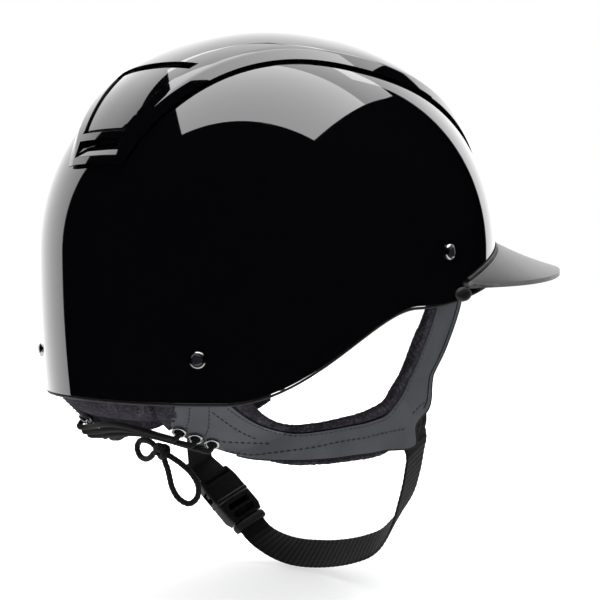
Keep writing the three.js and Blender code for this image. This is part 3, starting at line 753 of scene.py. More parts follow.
def facing_cloth():
    look = Look("facing_cloth", 0.9, Sheen_Weight=0.2)
    one = look.wave(0.8, "X")
    other = look.wave(0.8, "Y")
    weave = look.sum(one, other, "MULTIPLY")
    fuzzy = look.sum(weave, look.noise(0.4, 3), "MULTIPLY")
    tone = look.colours(fuzzy, (0.05, grey(0.003)), (0.5, grey(0.014)))
    look.set("Base Color", look.blended(look.spread(look.noise(15, 4), 0, 0.5, 0.4, 0.8), tone, grey(0.02)))
    look.bump(weave, 0.15)
    return look.material


def sewing_thread():
    look = Look("sewing_thread", 0.6, Sheen_Weight=0.2)
    twist = look.wave(0.5, "DIAGONAL")
    look.set("Base Color", look.colours(twist, (0.2, grey(0.003)), (0.8, grey(0.012))))
    look.bump(twist, 0.08)
    return look.material


LACQUER = gloss_lacquer("gloss_lacquer")
SATIN = satin_paint()
LEATHER_LOOK = leather()
FLEECE = fleece()
WEBBING_LOOK = webbing_cloth()
TAB_LOOK = webbing_cloth("smooth_webbing", 1.4, 0.004)
ANCHOR_LOOK = webbing_cloth("sewn_webbing", 4, 0.006, False)
BRAID = braided_cord()
STEEL = bright_steel()
CAP = gloss_lacquer("cap_lacquer", 0.006, 0.002)
ACETAL = moulded_plastic()
VENT_PLASTIC = moulded_plastic("vent_plastic", 0.004, 0.5, 0.03)
RUBBER = soft_rubber()
FOAM = bead_foam()
CLOTH = facing_cloth()
THREAD = sewing_thread()


# ---------------------------------------------------------------- shell, panel and liner

def stations(marks, step):
    """Numbers from the first mark to the last that pass through every mark, at most step apart."""
    made = [marks[0]]
    for a, b in zip(marks, marks[1:]):
        count = math.ceil((b - a) / step)
        made += [mix(a, b, k / count) for k in range(1, count + 1)]
    return made


def top_patch(start, end, half, outer, inner, nu=24, nv=16, hole=None):
    """A patch of the dome between two angles over the top."""
    def place(inset):
        def at(u, v):
            alpha = mix(start, end, u)
            return over_top(alpha, half(alpha) * (2 * v - 1), inset)
        return at
    return slab(nu, nv, place(outer), place(inner), hole=hole)


def vent_half(alpha):
    return mix(VENT_NARROW, VENT_WIDE, (alpha - VENT_START) / (VENT_END - VENT_START))


def panel_half(alpha):
    return PANEL_REAR_HALF + PANEL_SWELL * sin(90 * (alpha - PANEL_START) / PANEL_SWELL_SPAN)


def ports():
    """The vent channels through shell and liner."""
    rear = top_patch(EXHAUST[0], VENT_END - 3, lambda alpha: 13, -12, LINER_INNER + 12, 12, 4)
    front = top_patch(GRILLE[0] + 2, GRILLE[1] - 2, lambda alpha: 18, -12, LINER_INNER + 12, 8, 4)
    return rear, front


def outer_shell():
    def layer(inset):
        return lambda u, v: dome_row(360 * u, v, inset, 0)
    shell = bare("outer_shell_lacquered", slab(200, 64, layer(0), layer(SHELL_THICKNESS), wraps=True))
    carve(shell, *ports())
    piece(shell.name, shell, LACQUER, replaces="outer_shell", bevel=0.7)


VENT_ROWS = (VENT_START - VENT_SEAM, VENT_END + VENT_SLOT)
OPEN_COLUMNS = 6                    # columns of cells from the middle to an opening's edge


def open_half(alpha):
    """Half the width of the panel's openings, and between them of the columns that join them."""
    wide = vent_half(VENT_ROWS[1]) + GROOVE
    if alpha <= VENT_ROWS[0]:
        return EXHAUST_HALF
    if alpha <= VENT_ROWS[1]:
        return vent_half(alpha) + GROOVE
    if alpha < GRILLE[0]:
        return mix(wide, GRILLE_HALF, (alpha - VENT_ROWS[1]) / (GRILLE[0] - VENT_ROWS[1]))
    return GRILLE_HALF


def panel_columns(alpha):
    """Places across the panel, with a column on each opening's edge and on the bevel's shoulder."""
    half = panel_half(alpha)
    marks = (0, open_half(alpha), half - PANEL_BEVEL, half)
    places = [0]
    for start, end, count in zip(marks, marks[1:], (OPEN_COLUMNS, 5, 8)):
        places += [mix(start, end, n / count) for n in range(1, count + 1)]
    return [-x for x in reversed(places[1:])] + places


def centre_panel():
    rows = stations([PANEL_START, *EXHAUST, *VENT_ROWS, *GRILLE, PANEL_END], 1)
    columns = [panel_columns(alpha) for alpha in rows]
    nu, nv = len(rows) - 1, len(columns[0]) - 1
    middle = nv // 2

    def top(u, v):
        i, j = round(u * nu), round(v * nv)
        alpha = rows[i]
        x = columns[i][j]
        inward = min(1, (panel_half(alpha) - abs(x)) / PANEL_BEVEL)
        profile = 1.08 * inward if inward < 0.85 else 1 - 3.64 * (1 - inward) ** 2
        share = (alpha - PANEL_START) / (PANEL_END - PANEL_START)
        ends = 0.35 + 0.65 * smooth(min(share, 1 - share), 0.01, 0.065)
        return over_top(alpha, x, -PANEL_FOOT - 0.6 - (PANEL_TOP - PANEL_FOOT - 0.6) * profile * ends)

    def bottom(u, v):
        i, j = round(u * nu), round(v * nv)
        return over_top(rows[i], columns[i][j], -PANEL_FOOT)

    def hole(i, j):
        alpha = (rows[i] + rows[i + 1]) / 2
        within = any(a < alpha < b for a, b in (EXHAUST, VENT_ROWS, GRILLE))
        return within and middle - OPEN_COLUMNS <= j < middle + OPEN_COLUMNS

    piece("center_panel_lacquered", slab(nu, nv, top, bottom, hole=hole), LACQUER,
          replaces="center_panel", bevel=0.45, sharp=35)


def vents():
    piece("rear_vent_blade", top_patch(VENT_START, VENT_END, vent_half, -2.9, -0.4, 30, 30), LACQUER,
          replaces="rear_vent_insert", bevel=1.1)
    mesh = top_patch(EXHAUST[0] + 0.4, VENT_END - 3.6, lambda alpha: 12, 4, 5.2, 42, 24,
                     hole=lambda i, j: i % 3 > 0 and j % 3 > 0)
    piece("rear_vent_screen", mesh, VENT_PLASTIC, replaces="rear_vent_mesh", bevel=0.2)

    def ramp(extra):
        def at(u, v):
            alpha = mix(EXHAUST[0] + 0.1, EXHAUST[1] - 0.1, u)
            return over_top(alpha, (EXHAUST_HALF - 0.3) * (2 * v - 1), mix(-2.2, 0.8, u) + extra)
        return at
    piece("rear_vent_scoop", slab(10, 24, ramp(0), ramp(0.8)), LACQUER, bevel=0.2)
    grille = top_patch(GRILLE[0] + 0.2, GRILLE[1] - 0.2, lambda alpha: GRILLE_HALF - 0.4, -2.6, -0.4, 40, 32,
                       hole=lambda i, j: i % 8 in (3, 4, 5) and 4 <= j < 28 and j % 12 not in (3, 4))
    piece("front_vent_louvres", grille, VENT_PLASTIC, replaces="front_vent_grille", bevel=0.3)


def impact_liner():
    def inner(u, v):
        base = dome_row(360 * u, v, LINER_INNER, 3)
        channel = CHANNEL_DEEP * math.exp(-((abs(base.x) - CHANNEL_AT) / 4) ** 2) * smooth(base.z, -20, 10)
        return dome_row(360 * u, v, LINER_INNER - channel, 3)

    def outer(u, v):
        return dome_row(360 * u, v, LINER_OUTER, 3)
    liner = bare("impact_liner_foam", slab(160, 48, outer, inner, wraps=True))
    carve(liner, *ports())
    piece(liner.name, liner, FOAM, replaces="impact_liner", bevel=1.2)


# ---------------------------------------------------------------- peak and rim

def peak_root_z(phi):
    side = 360 - phi if phi > 180 else phi
    return PEAK_ROOT_Z + PEAK_ROOT_RISE * sin(90 * (side - PEAK_ROOT_FROM) / (180 - PEAK_ROOT_FROM))


def peak_point(u, v, drop=0):
    phi = mix(PEAK_FROM, PEAK_TO, u)
    root = on_dome(phi, peak_root_z(phi), -1.8)
    turn = 180 * min(max(u, 0), 1)
    power = 2 / PEAK_SQUARENESS
    x = -PEAK_HALF_WIDTH * math.copysign(abs(cos(turn)) ** power, cos(turn))
    y = PEAK_ROOT_Y - PEAK_REACH * max(0, sin(turn)) ** power
    edge = Vector((x, y, -6 - 11 * abs(x / PEAK_HALF_WIDTH) ** 2.8))
    p = root.lerp(edge, v)
    p.z -= 1.4 * math.sin(math.pi * v) * sin(turn) + drop
    return p


def peak():
    def row(v):
        return mix(0, 0.94, v / 0.8) if v < 0.8 else mix(0.94, 1, (v - 0.8) / 0.2)

    def bottom(u, v):
        return peak_point(u, row(v), PEAK_THICKNESS + PEAK_LIP * smooth(row(v), 0.955, 0.985))
    piece("peak_painted", slab(150, 30, lambda u, v: peak_point(u, row(v)), bottom), SATIN,
          replaces="peak", bevel=0.55)

    top = PEAK_THICKNESS + 0.2
    piece("peak_facing", slab(120, 16, lambda u, v: peak_point(u, mix(0.08, 0.9, v), top),
                              lambda u, v: peak_point(u, mix(0.08, 0.9, v), top + 0.8)),
          CLOTH, replaces="peak_underside", bevel=0.3)
    seam = [peak_point(mix(0.04, 0.96, k / 120), 0.84, top + 0.8) for k in range(121)]
    piece("peak_facing_stitches", stitches(seam, lambda p: Vector((0, 0, -1))), THREAD)

    rings = []
    for k in range(121):
        phi = mix(PEAK_FROM + 1, PEAK_TO - 1, k / 120)
        z = peak_root_z(phi) + 0.5
        section = [(-0.3, 0), (-0.3, 1.4), (-0.7, 1.4), (-1.1, 1.1), (-1.5, 0.6), (-1.7, 0)]
        rings.append([on_dome(phi, z + up, inset) for inset, up in section])
    piece("peak_seal_strip", loft(rings), RUBBER, replaces="peak_seal", bevel=0.2)

    for side, sign in SIDES.items():
        def place(proud, sign=sign):
            def at(u, v):
                a, b = 2 * u - 1, 2 * v - 1
                across, up = a * math.sqrt(1 - b * b / 2), b * math.sqrt(1 - a * a / 2)
                bulge = math.sqrt(max(0, 1 - across * across - up * up))
                return on_dome(sign * mix(*CORNER_PAD_PHI, 0.5 + across / 2),
                               mix(*CORNER_PAD_Z, 0.5 + up / 2), -0.3 - proud * bulge)
            return at
        piece(f"peak_corner_pad_{side}", slab(24, 18, place(CORNER_PAD_PROUD), place(0)), VENT_PLASTIC,
              replaces=f"peak_mount_{side}")


def rim_trim():
    rings = []
    for k in range(240):
        phi = 360 * k / 240
        z = rim_z(phi) - 1.15
        rings.append([on_dome(phi, z + 0.75 * sin(t), 1.6 - 1.5 * cos(t)) for t in range(0, 360, 36)])
    piece("rim_edging", loft(rings, loops=True), RUBBER, replaces="rim_trim", sharp=80)


# ---------------------------------------------------------------- fleece pads

def ruffle(obj, size, depth):
    """Moves each point along its normal by a fine noise, as the pile of a fleece does."""
    mesh = obj.data
    normals = [v.normal.copy() for v in mesh.vertices]
    for v, normal in zip(mesh.vertices, normals):
        place = v.co / (size * MM)
        v.co += normal * (depth * MM * (noise.noise(place) + 0.5 * noise.noise(place * 2.3)))
    mesh.update()


def pillow(t, power=6):
    """1 in the middle of 0..1 and 0 at its ends, with round shoulders."""
    return math.sqrt(max(0, 1 - abs(2 * t - 1) ** power))


def fleece_piece(name, shape, replaces=(), size=1.5, depth=0.35):
    obj = bare(name, shape, 180)
    ruffle(obj, size, depth)
    piece(name, obj, FLEECE, replaces=replaces)


def headband_pads():
    spans = {"rear": (-44, 44), "right": (47, 132), "front": (135, 225), "left": (228, 313)}
    for where, (start, end) in spans.items():
        width = end - start

        def foot(phi):
            return rim_z(phi) + mix(-12, 4, smooth(abs((phi + 180) % 360 - 180), 20, 75))

        def outer(u, v, start=start, width=width):
            phi = start + width * u
            back = 1.6 * (1 - pillow(u, 30) * pillow(v, 8))
            return on_dome(phi, foot(phi) + PAD_HEIGHT * v, PAD_INSET + back)

        def inner(u, v, start=start, width=width):
            phi = start + width * u
            seam = math.exp(-((((u * width / 22) % 1) - 0.5) * 22 / 2.2) ** 2)
            crown = pillow(u, 30) * pillow(v, 5) * (1 - 0.3 * seam)
            return on_dome(phi, foot(phi) + PAD_HEIGHT * v, PAD_INSET + mix(1.6, PAD_THICKNESS, crown))
        cushion = slab(int(width * 1.6), 36, outer, inner)
        fleece_piece(f"headband_cushion_{where}", cushion, f"headband_pad_{where}")


def crown_pad():
    def half(alpha):
        middle = sum(CROWN_PAD_SPAN) / 2
        return CROWN_PAD_HALF * math.sqrt(max(0.15, 1 - ((alpha - middle) / 34) ** 2))

    def place(deep):
        def at(u, v):
            alpha = mix(*CROWN_PAD_SPAN, u)
            crown = pillow(u, 6) * pillow(v, 6)
            inset = PAD_INSET + (mix(1.6, PAD_THICKNESS, crown) if deep else 1.6 * (1 - crown))
            return over_top(alpha, half(alpha) * (2 * v - 1), inset)
        return at
    fleece_piece("crown_cushion", slab(90, 56, place(False), place(True)), "crown_pad")


def nape_pad():
    path = Spline([(4.6, 2.1, 0), (4.5, -2, 0), (6.5, -5.7, 0), (9.6, -8.7, 0), (14, -11, 0), (20, -12.4, 0),
                   (24, -12.3, 0)])

    def outer(u, v):
        phi = NAPE_PAD_REACH * (2 * u - 1)
        p = path.at(v)
        return on_dome(phi, rim_z(phi) + mix(2.1, p.y, 0.3 + 0.7 * pillow(u, 10)), p.x)

    def inner(u, v):
        phi = NAPE_PAD_REACH * (2 * u - 1)
        return on_dome(phi, rim_z(phi) + 2.3, path.at(v).x)
    fleece_piece("nape_cushion", slab(90, 48, outer, inner), "nape_pad")


# ---------------------------------------------------------------- harness

# Across the harness, from its outer edge (front, then lower) to the edge of the ear opening:
# phi and z of the one, phi and z of the other, from the front rivet round to the rear rivet.
HARNESS = [
    (111, 8, 97, 8), (113, -12, 97.5, -12), (115, -28, 98, -30), (111, -52, 94.5, -53),
    (106, -67, 91, -66), (104, -83, 87, -73), (97, -92, 84, -78), (96.5, -103, 79, -81),
    (84, -107, 74, -83), (71, -108, 67, -85), (60, -109, 59, -87), (50, -109, 51, -88),
    (40, -105.5, 46, -86), (30, -101, 42, -81), (21.5, -95, 39.5, -74), (18, -84, 37, -66),
    (20, -66, 35.5, -57), (23, -46, 34, -46),
]
HARNESS_ROWS = len(HARNESS) - 1
OUTER_EDGE = Spline([(phi, z, 0) for phi, z, _, _ in HARNESS])
EAR_EDGE = Spline([(phi, z, 0) for _, _, phi, z in HARNESS])
LINING_SPAN = (0.1, 0.855)


def on_face(phi, z, depth, sign=1):
    """A point of the harness, which hugs the shell inside and draws in below the rim, most at the nape."""
    below = max(0, rim_z(phi) - z)
    nape, cheek = min(NAPE_DRAW, NAPE_SLOPE * below), min(CHEEK_DRAW, CHEEK_SLOPE * below)
    inset = HARNESS_INSET + mix(nape, cheek, smooth(phi, 30, 75))
    r = plan_radius(phi, inset + depth) * shrink(max(z, rim_z(phi)), 0)
    return Vector((-sign * r * sin(phi), r * cos(phi), z))


def on_harness(along, across, depth, sign):
    p = OUTER_EDGE.at(along).lerp(EAR_EDGE.at(along), across)
    return on_face(p.x, p.y, depth, sign)


def face_normal(phi, z, sign=1):
    across = on_face(phi + 0.5, z, 0, sign) - on_face(phi - 0.5, z, 0, sign)
    up = on_face(phi, z + 0.5, 0, sign) - on_face(phi, z - 0.5, 0, sign)
    normal = across.cross(up).normalized()
    outwards = on_face(phi, z, 0, sign)
    return normal if normal.dot(Vector((outwards.x, outwards.y, 0))) > 0 else -normal


def leather_foot(along):
    """Where across the harness the leather starts: fleece shows past it at the jaw and at the nape."""
    row = along * HARNESS_ROWS
    jaw = 0.17 * smooth(row, 6.8, 8.2) * (1 - smooth(row, 10.8, 12.4))
    return jaw + 0.24 * smooth(row, 14.6, 15.3)


def leather_panel(sign):
    def at(depth):
        return lambda u, v: on_harness(u, mix(leather_foot(u), LEATHER_SHARE, v), depth, sign)
    return slab(260, 20, at(0), at(LEATHER))


def lining_panel(sign):
    behind = LEATHER + LINING_LIFT

    def deepest(along):
        return behind + mix(1.1, LINING, smooth(along, 0.12, 0.16))

    def place(u, v):
        along = mix(*LINING_SPAN, u)
        clear = 0.42 * math.exp(-((along - JUNCTION) * HARNESS_ROWS) ** 2)
        return along, mix(0.02 + clear, 1, v)

    def outer(u, v):
        along, across = place(u, v)
        foot = leather_foot(along)
        shows = smooth(across, LEATHER_SHARE, LEATHER_SHARE + 0.05)
        if foot > 0.03:
            shows = max(shows, 1 - smooth(across, foot - 0.06, foot))
        front = mix(behind, 0.4, shows)
        rounding = pillow(v, 10) * pillow(u, 40)
        return on_harness(along, across, mix(mix(front, deepest(along), 0.35), front, rounding), sign)

    def inner(u, v):
        along, across = place(u, v)
        thin = 0.5 * (1 - pillow(v, 10) * pillow(u, 40))
        return on_harness(along, across, deepest(along) - thin, sign)
    return slab(300, 44, outer, inner)


def nape_binding(sign):
    """The fleece that is folded round the harness's rear edge."""
    def place(edge, full):
        def at(u, v):
            along, across = mix(0.86, 0.985, u), mix(-0.1, 0.235, v)
            return on_harness(along, across, mix(edge, full, pillow(u, 8) * pillow(v, 6)), sign)
        return at
    return slab(60, 24, place(1.5, -0.2), place(1.7, 3.2))


def webbing_anchor(sign):
    """The end of the chin webbing, sewn in behind the leather."""
    def place(extra):
        def at(u, v):
            phi, z = mix(*ANCHOR_PHI, v), mix(*ANCHOR_Z, u)
            return on_face(phi, z, mix(5.6, 2.3, smooth(z, -103, -90)) + extra, sign)
        return at
    return slab(60, 20, place(0), place(1.1))


# Seams of the harness, as (phi, z) points.
SEAMS = {
    "nape_dots": [(25.6, -77), (24.1, -83.7), (21.8, -90.5)],
    "nape": [(30.1, -76.3), (29.2, -82.4), (27.8, -89.2), (25.4, -94.9)],
    "gusset_upper": [(30.5, -79.6), (32.7, -84.6), (35.9, -90.3), (40.4, -95.1)],
    "gusset_lower": [(25.6, -95.5), (31.1, -96), (36.6, -96.6), (44.4, -97.4)],
    "jaw": [(30.6, -101), (37.8, -103), (46.8, -101.5), (55.8, -99.6), (66.8, -96.6), (73.4, -95.7),
            (82, -94.2), (92, -93.2)],
    "cheek": [(95.3, -85.4), (98.9, -82.1), (103.2, -79.4)],
}


def face_line(points, depth, sign):
    route = Spline([(phi, z, 0) for phi, z in points]).line(60)
    return [on_face(p.x, p.y, depth, sign) for p in route]


def harness():
    def radial(p):
        return Vector((p.x, p.y, 0)).normalized()

    for side, sign in SIDES.items():
        panel = bare(f"harness_leather_{side}", leather_panel(sign))
        holes = []
        for phi, z in EYELETS:
            rod = turned([(0, -7), (EYELET_HOLE_R + 1, -7), (EYELET_HOLE_R + 1, 7), (0, 7)], 24)
            holes.append(moved(rod, facing(on_face(phi, z, 0, sign), face_normal(phi, z, sign))))
        ruffle(panel, 16, 0.14)
        carve(panel, *holes)
        piece(panel.name, panel, LEATHER_LOOK, replaces=f"harness_{side}", bevel=0.5)
        lining = bare(f"harness_fleece_{side}", lining_panel(sign), 180)
        ruffle(lining, 1.4, 0.3)
        carve(lining, *holes)
        piece(lining.name, lining, FLEECE, replaces=f"harness_lining_{side}")
        fleece_piece(f"harness_binding_{side}", nape_binding(sign), size=1.4, depth=0.3)
        piece(f"webbing_anchor_{side}", webbing_anchor(sign), ANCHOR_LOOK, bevel=0.3)

        shapes = []
        for name, points in SEAMS.items():
            line = face_line(points, -0.12, sign)
            if name == "nape_dots":
                shapes.append(stitches(line, radial, 0.9, 1.7, 0.45))
            else:
                shapes.append(stitches(line, radial, 2.2, 1.0, 0.42))
        ear = [on_harness(mix(0.14, 0.93, k / 300), LEATHER_SHARE - 0.05, -0.05, sign) for k in range(301)]
        shapes.append(stitches(ear, radial, 1.8, 0.9, 0.28))
        nape = [on_harness(mix(0.885, 0.935, k / 30), 0.14, 0.3, sign) for k in range(31)]
        shapes.append(stitches(nape, radial, 0.9, 1.7, 0.35))
        piece(f"harness_stitches_{side}", merged(*shapes), THREAD)

        corner, seam_end, lip_end = (row / HARNESS_ROWS for row in (6.9, 5.2, 12.6))
        front = [on_harness(mix(0.05, corner, k / 160), -0.01, 0.7, sign) for k in range(161)]
        inside = [on_harness(mix(0.05, seam_end, k / 140), 0.13, -0.12, sign) for k in range(141)]
        jaw = [mix(corner, lip_end, k / 120) for k in range(121)]
        lower = [on_harness(along, leather_foot(along) - 0.01, 0.7, sign) for along in jaw]
        pipings = (("front", front, 0.95), ("front_seam", inside, 0.3), ("lower", lower, 0.7))
        for where, line, radius in pipings:
            cord = cord_mesh(f"harness_piping_{where}_{side}", line, radius, 10)
            piece(cord.name, cord, BRAID)


def rivets():
    stem = 2
    deep = -SHELL_THICKNESS - LEATHER - 2.9
    ring = [(0, deep), (stem, deep), (stem, 0.3), (RIVET_R, 0.3), (RIVET_R + 0.05, 0.9),
            (RIVET_R - 0.3, 1.6), (RIVET_R - 0.8, 1.9), (RIVET_R - 1.1, 1.75), (RIVET_R - 1.25, 1.3),
            (0, 1.3)]
    inside = RIVET_R - 1.5
    dome = [(0, 1.6), (inside, 1.6)] + [(inside * cos(t), 1.8 + 0.9 * sin(t)) for t in range(0, 91, 9)]
    back = -SHELL_THICKNESS - LEATHER - 2.1
    washer = [(stem + 0.3, back - 0.5), (4.4, back - 0.5), (4.4, back), (stem + 0.3, back)]
    for where, (phi, z) in RIVETS.items():
        for side, sign in SIDES.items():
            spot = facing(on_dome(sign * phi, z, 0), dome_normal(sign * phi, z))
            tag = f"{where}_{side}"
            piece(f"rivet_ring_{tag}", moved(turned(ring), spot), STEEL,
                  replaces=f"rivet_{tag}", bevel=0.12, sharp=50)
            piece(f"rivet_dome_{tag}", moved(turned(dome), spot), CAP,
                  replaces=f"rivet_cap_{tag}")
            piece(f"rivet_plate_{tag}", moved(turned(washer), spot), STEEL,
                  replaces=f"rivet_washer_{tag}", bevel=0.12)


def eyelets():
    barrel = EYELET_HOLE_R + 0.7
    low = -LEATHER - 0.4
    middle = (EYELET_R + EYELET_HOLE_R) / 2
    roll = [(middle + (EYELET_R - middle) * cos(t), 0.7 + 0.85 * sin(t)) for t in range(0, 181, 18)]
    ring = [(EYELET_HOLE_R, low), (barrel, low), (barrel, 0.6)] + roll
    for side, sign in SIDES.items():
        for k, (phi, z) in enumerate(EYELETS):
            spot = facing(on_face(phi, z, 0, sign), face_normal(phi, z, sign))
            piece(f"eyelet_ring_{side}_{k + 1}", moved(turned(ring, 36), spot), STEEL,
                  replaces=f"eyelet_{side}_{k + 1}", sharp=60)


# ---------------------------------------------------------------- nape lace

KNOT = Vector((-27, 107.5, -101.5))
LARGE_LOOP = [
    (-2.4, 0.2, -5.4), (-3.6, -0.4, -8.8), (-4.4, -1, -13), (-5.4, -2, -18.5), (-8.6, -4, -24),
    (-13.4, -6.6, -26), (-17, -8.6, -22.5), (-17.4, -8.8, -16.5), (-14.4, -7, -10.5), (-10, -4.6, -6.2),
    (-6.8, -2.8, -3.8),
]
SMALL_LOOP = [
    (5.8, 0.4, -1), (9, 0.2, -3.6), (14, -0.4, -5.2), (19.4, -1, -4), (21.6, -1, 0), (19.4, -1, 3.6),
    (14, -0.6, 4.4), (9, 0, 3.8), (5.8, 0.4, 2.6),
]


def lace_cord(name, line, replaces):
    cord = cord_mesh(name, line, LACE_R, 14, 0.1, 2.4)
    return piece(name, cord, BRAID, replaces=replaces)


def lace():
    for row, (phi, z) in enumerate(EYELETS):
        point, normal = on_face(phi, z, 0), face_normal(phi, z)
        near = [point + normal * distance for distance in (-2.4, -0.2, 2.8, 5.2, 5)]
        near[3].x += 1.6
        near[4].x += 8 + row
        back = near[4].y + 4.5 - row
        sag = near[4].z
        middle = [(-14, back, sag + 3.4), (0, back + 1.2, sag + 4.4), (14, back, sag + 3.4)]
        far = [(-p.x, p.y, p.z) for p in reversed(near)]
        line = evenly(Spline([*near, *middle, *far]).line(160), 0.7)
        lace_cord(f"lace_run_{row + 1}", line, f"lace_strand_{row + 1}")

    for name, route in (("large", LARGE_LOOP), ("small", SMALL_LOOP)):
        ends = Vector(route[0]) * 0.35, Vector(route[-1]) * 0.35
        line = evenly(Spline([KNOT + Vector(p) for p in (ends[0], *route, ends[1])]).line(160), 0.7)
        cord = lace_cord(f"lace_bow_{name}", line, f"lace_loop_{name}")

    turns = []
    for k in range(121):
        t = 360 * 2.5 * k / 120
        rise = 1.2 * (k / 60 - 1) + 2.4 * sin(t)
        turns.append(KNOT + Vector((3.1 * cos(t), 1.9 * sin(t / 2 + 40) + 0.5, rise)))
    lace_cord("lace_knot_wound", evenly(turns, 0.7), "lace_knot")


# ---------------------------------------------------------------- chin strap

STRAP = Matrix.Translation(AXIS) @ Matrix.Rotation(math.radians(-STRAP_TILT), 4, "X")
BUCKLE_TURN = Matrix.Rotation(math.atan2(-BUCKLE_WAY.z, BUCKLE_WAY.x), 4, "Y")
BUCKLE = STRAP @ Matrix.Translation(BUCKLE_TOP) @ BUCKLE_TURN


def placed(obj, matrix):
    """Moves an object's mesh, which is in metres, by a matrix in millimetres."""
    shift = Matrix.Translation(matrix.to_translation() * MM) @ matrix.to_3x3().to_4x4()
    obj.data.transform(shift)
    return obj


def along_buckle(s):
    return BUCKLE_TOP + BUCKLE_WAY * s


def chin_webbing():
    start = FEMALE_LENGTH + 8
    straight = FEMALE_LENGTH + MALE_LENGTH + RING_LENGTH + RELEASE_TRAVEL + 2
    points = [along_buckle(s) for s in (start, (start + straight) / 2, straight)]
    for x, drop in ((48, 80), (33, 82.5), (14, 81.5), (-6, 78), (-25, 72.5), (-41, 65.5), (-55, 54),
                    (-68, 39.5), (-79, 22), (-85.5, 9), (-89, 1), (-89.4, -7)):
        points.append(Vector((x, 0, -drop)))

    def cone(t):
        turned_by = mix(STRAP_CONE, STRAP_CONE_SIDE, smooth(t, 0.6, 0.76))
        return turned_by * smooth(t, 0.12, 0.36) * (1 - smooth(t, 0.88, 1))
    strap = strap_mesh("chin_strap_webbing", Spline(points), WEBBING_LENGTH, WEBBING_WIDTH, WEBBING - 0.4,
                       cone, 0.22)
    piece(strap.name, placed(strap, STRAP), WEBBING_LOOK, "chin_strap", "chin_webbing")


def chin_tab():
    bar_at, bar_r = 2, 2.1
    sideways = Vector((-BUCKLE_WAY.z, 0, BUCKLE_WAY.x))

    def by_bar(s, off):
        return along_buckle(s) - sideways * off
    points = [Vector(p) for p in ((89.4, 0, 7), (89.4, 0, -3), (92.6, 0, -12), (95.6, 0, -22))]
    points += [by_bar(-8, -2.1), by_bar(bar_at - 2, -bar_r)]
    points += [by_bar(bar_at + bar_r * cos(turn), bar_r * sin(turn)) for turn in (-60, 0, 60)]
    points += [by_bar(bar_at - 2, bar_r), by_bar(-8, 0.2), by_bar(-14, -0.2)]
    tab = strap_mesh("chin_strap_tab", Spline(points), TAB_LENGTH, WEBBING_WIDTH, 1.2,
                     lambda t: 0, 0.04, 1.4)
    piece(tab.name, placed(tab, STRAP), TAB_LOOK, "chin_strap", "chin_tab")


def slot_block(x0, x1, half_y, z0, z1):
    """A box across the middle of the buckle."""
    corners = [Vector((x, y, z)) for x in (x0, x1) for y in (-half_y, half_y) for z in (z0, z1)]
    faces = [[0, 1, 3, 2], [4, 6, 7, 5], [0, 4, 5, 1], [2, 3, 7, 6], [0, 2, 6, 4], [1, 5, 7, 3]]
    return corners, faces


def rounded(outline):
    """A body along X from (x, half width, half thickness) sections with round corners."""
    radius = 2.2
    rings = []
    for x, half_y, half_z in outline:
        ring = []
        for sy, sz, start in ((1, 1, 0), (-1, 1, 90), (-1, -1, 180), (1, -1, 270)):
            centre = Vector((x, sy * (half_y - radius), sz * (half_z - radius)))
            for t in range(start, start + 91, 15):
                ring.append(centre + Vector((0, radius * cos(t), radius * sin(t))))
        rings.append(ring)
    return loft(rings)


def buckle_piece(name, obj, body, replaces, bevel=0.45):
    soften(piece(name, placed(obj, BUCKLE), ACETAL, body, replaces), bevel, 35)


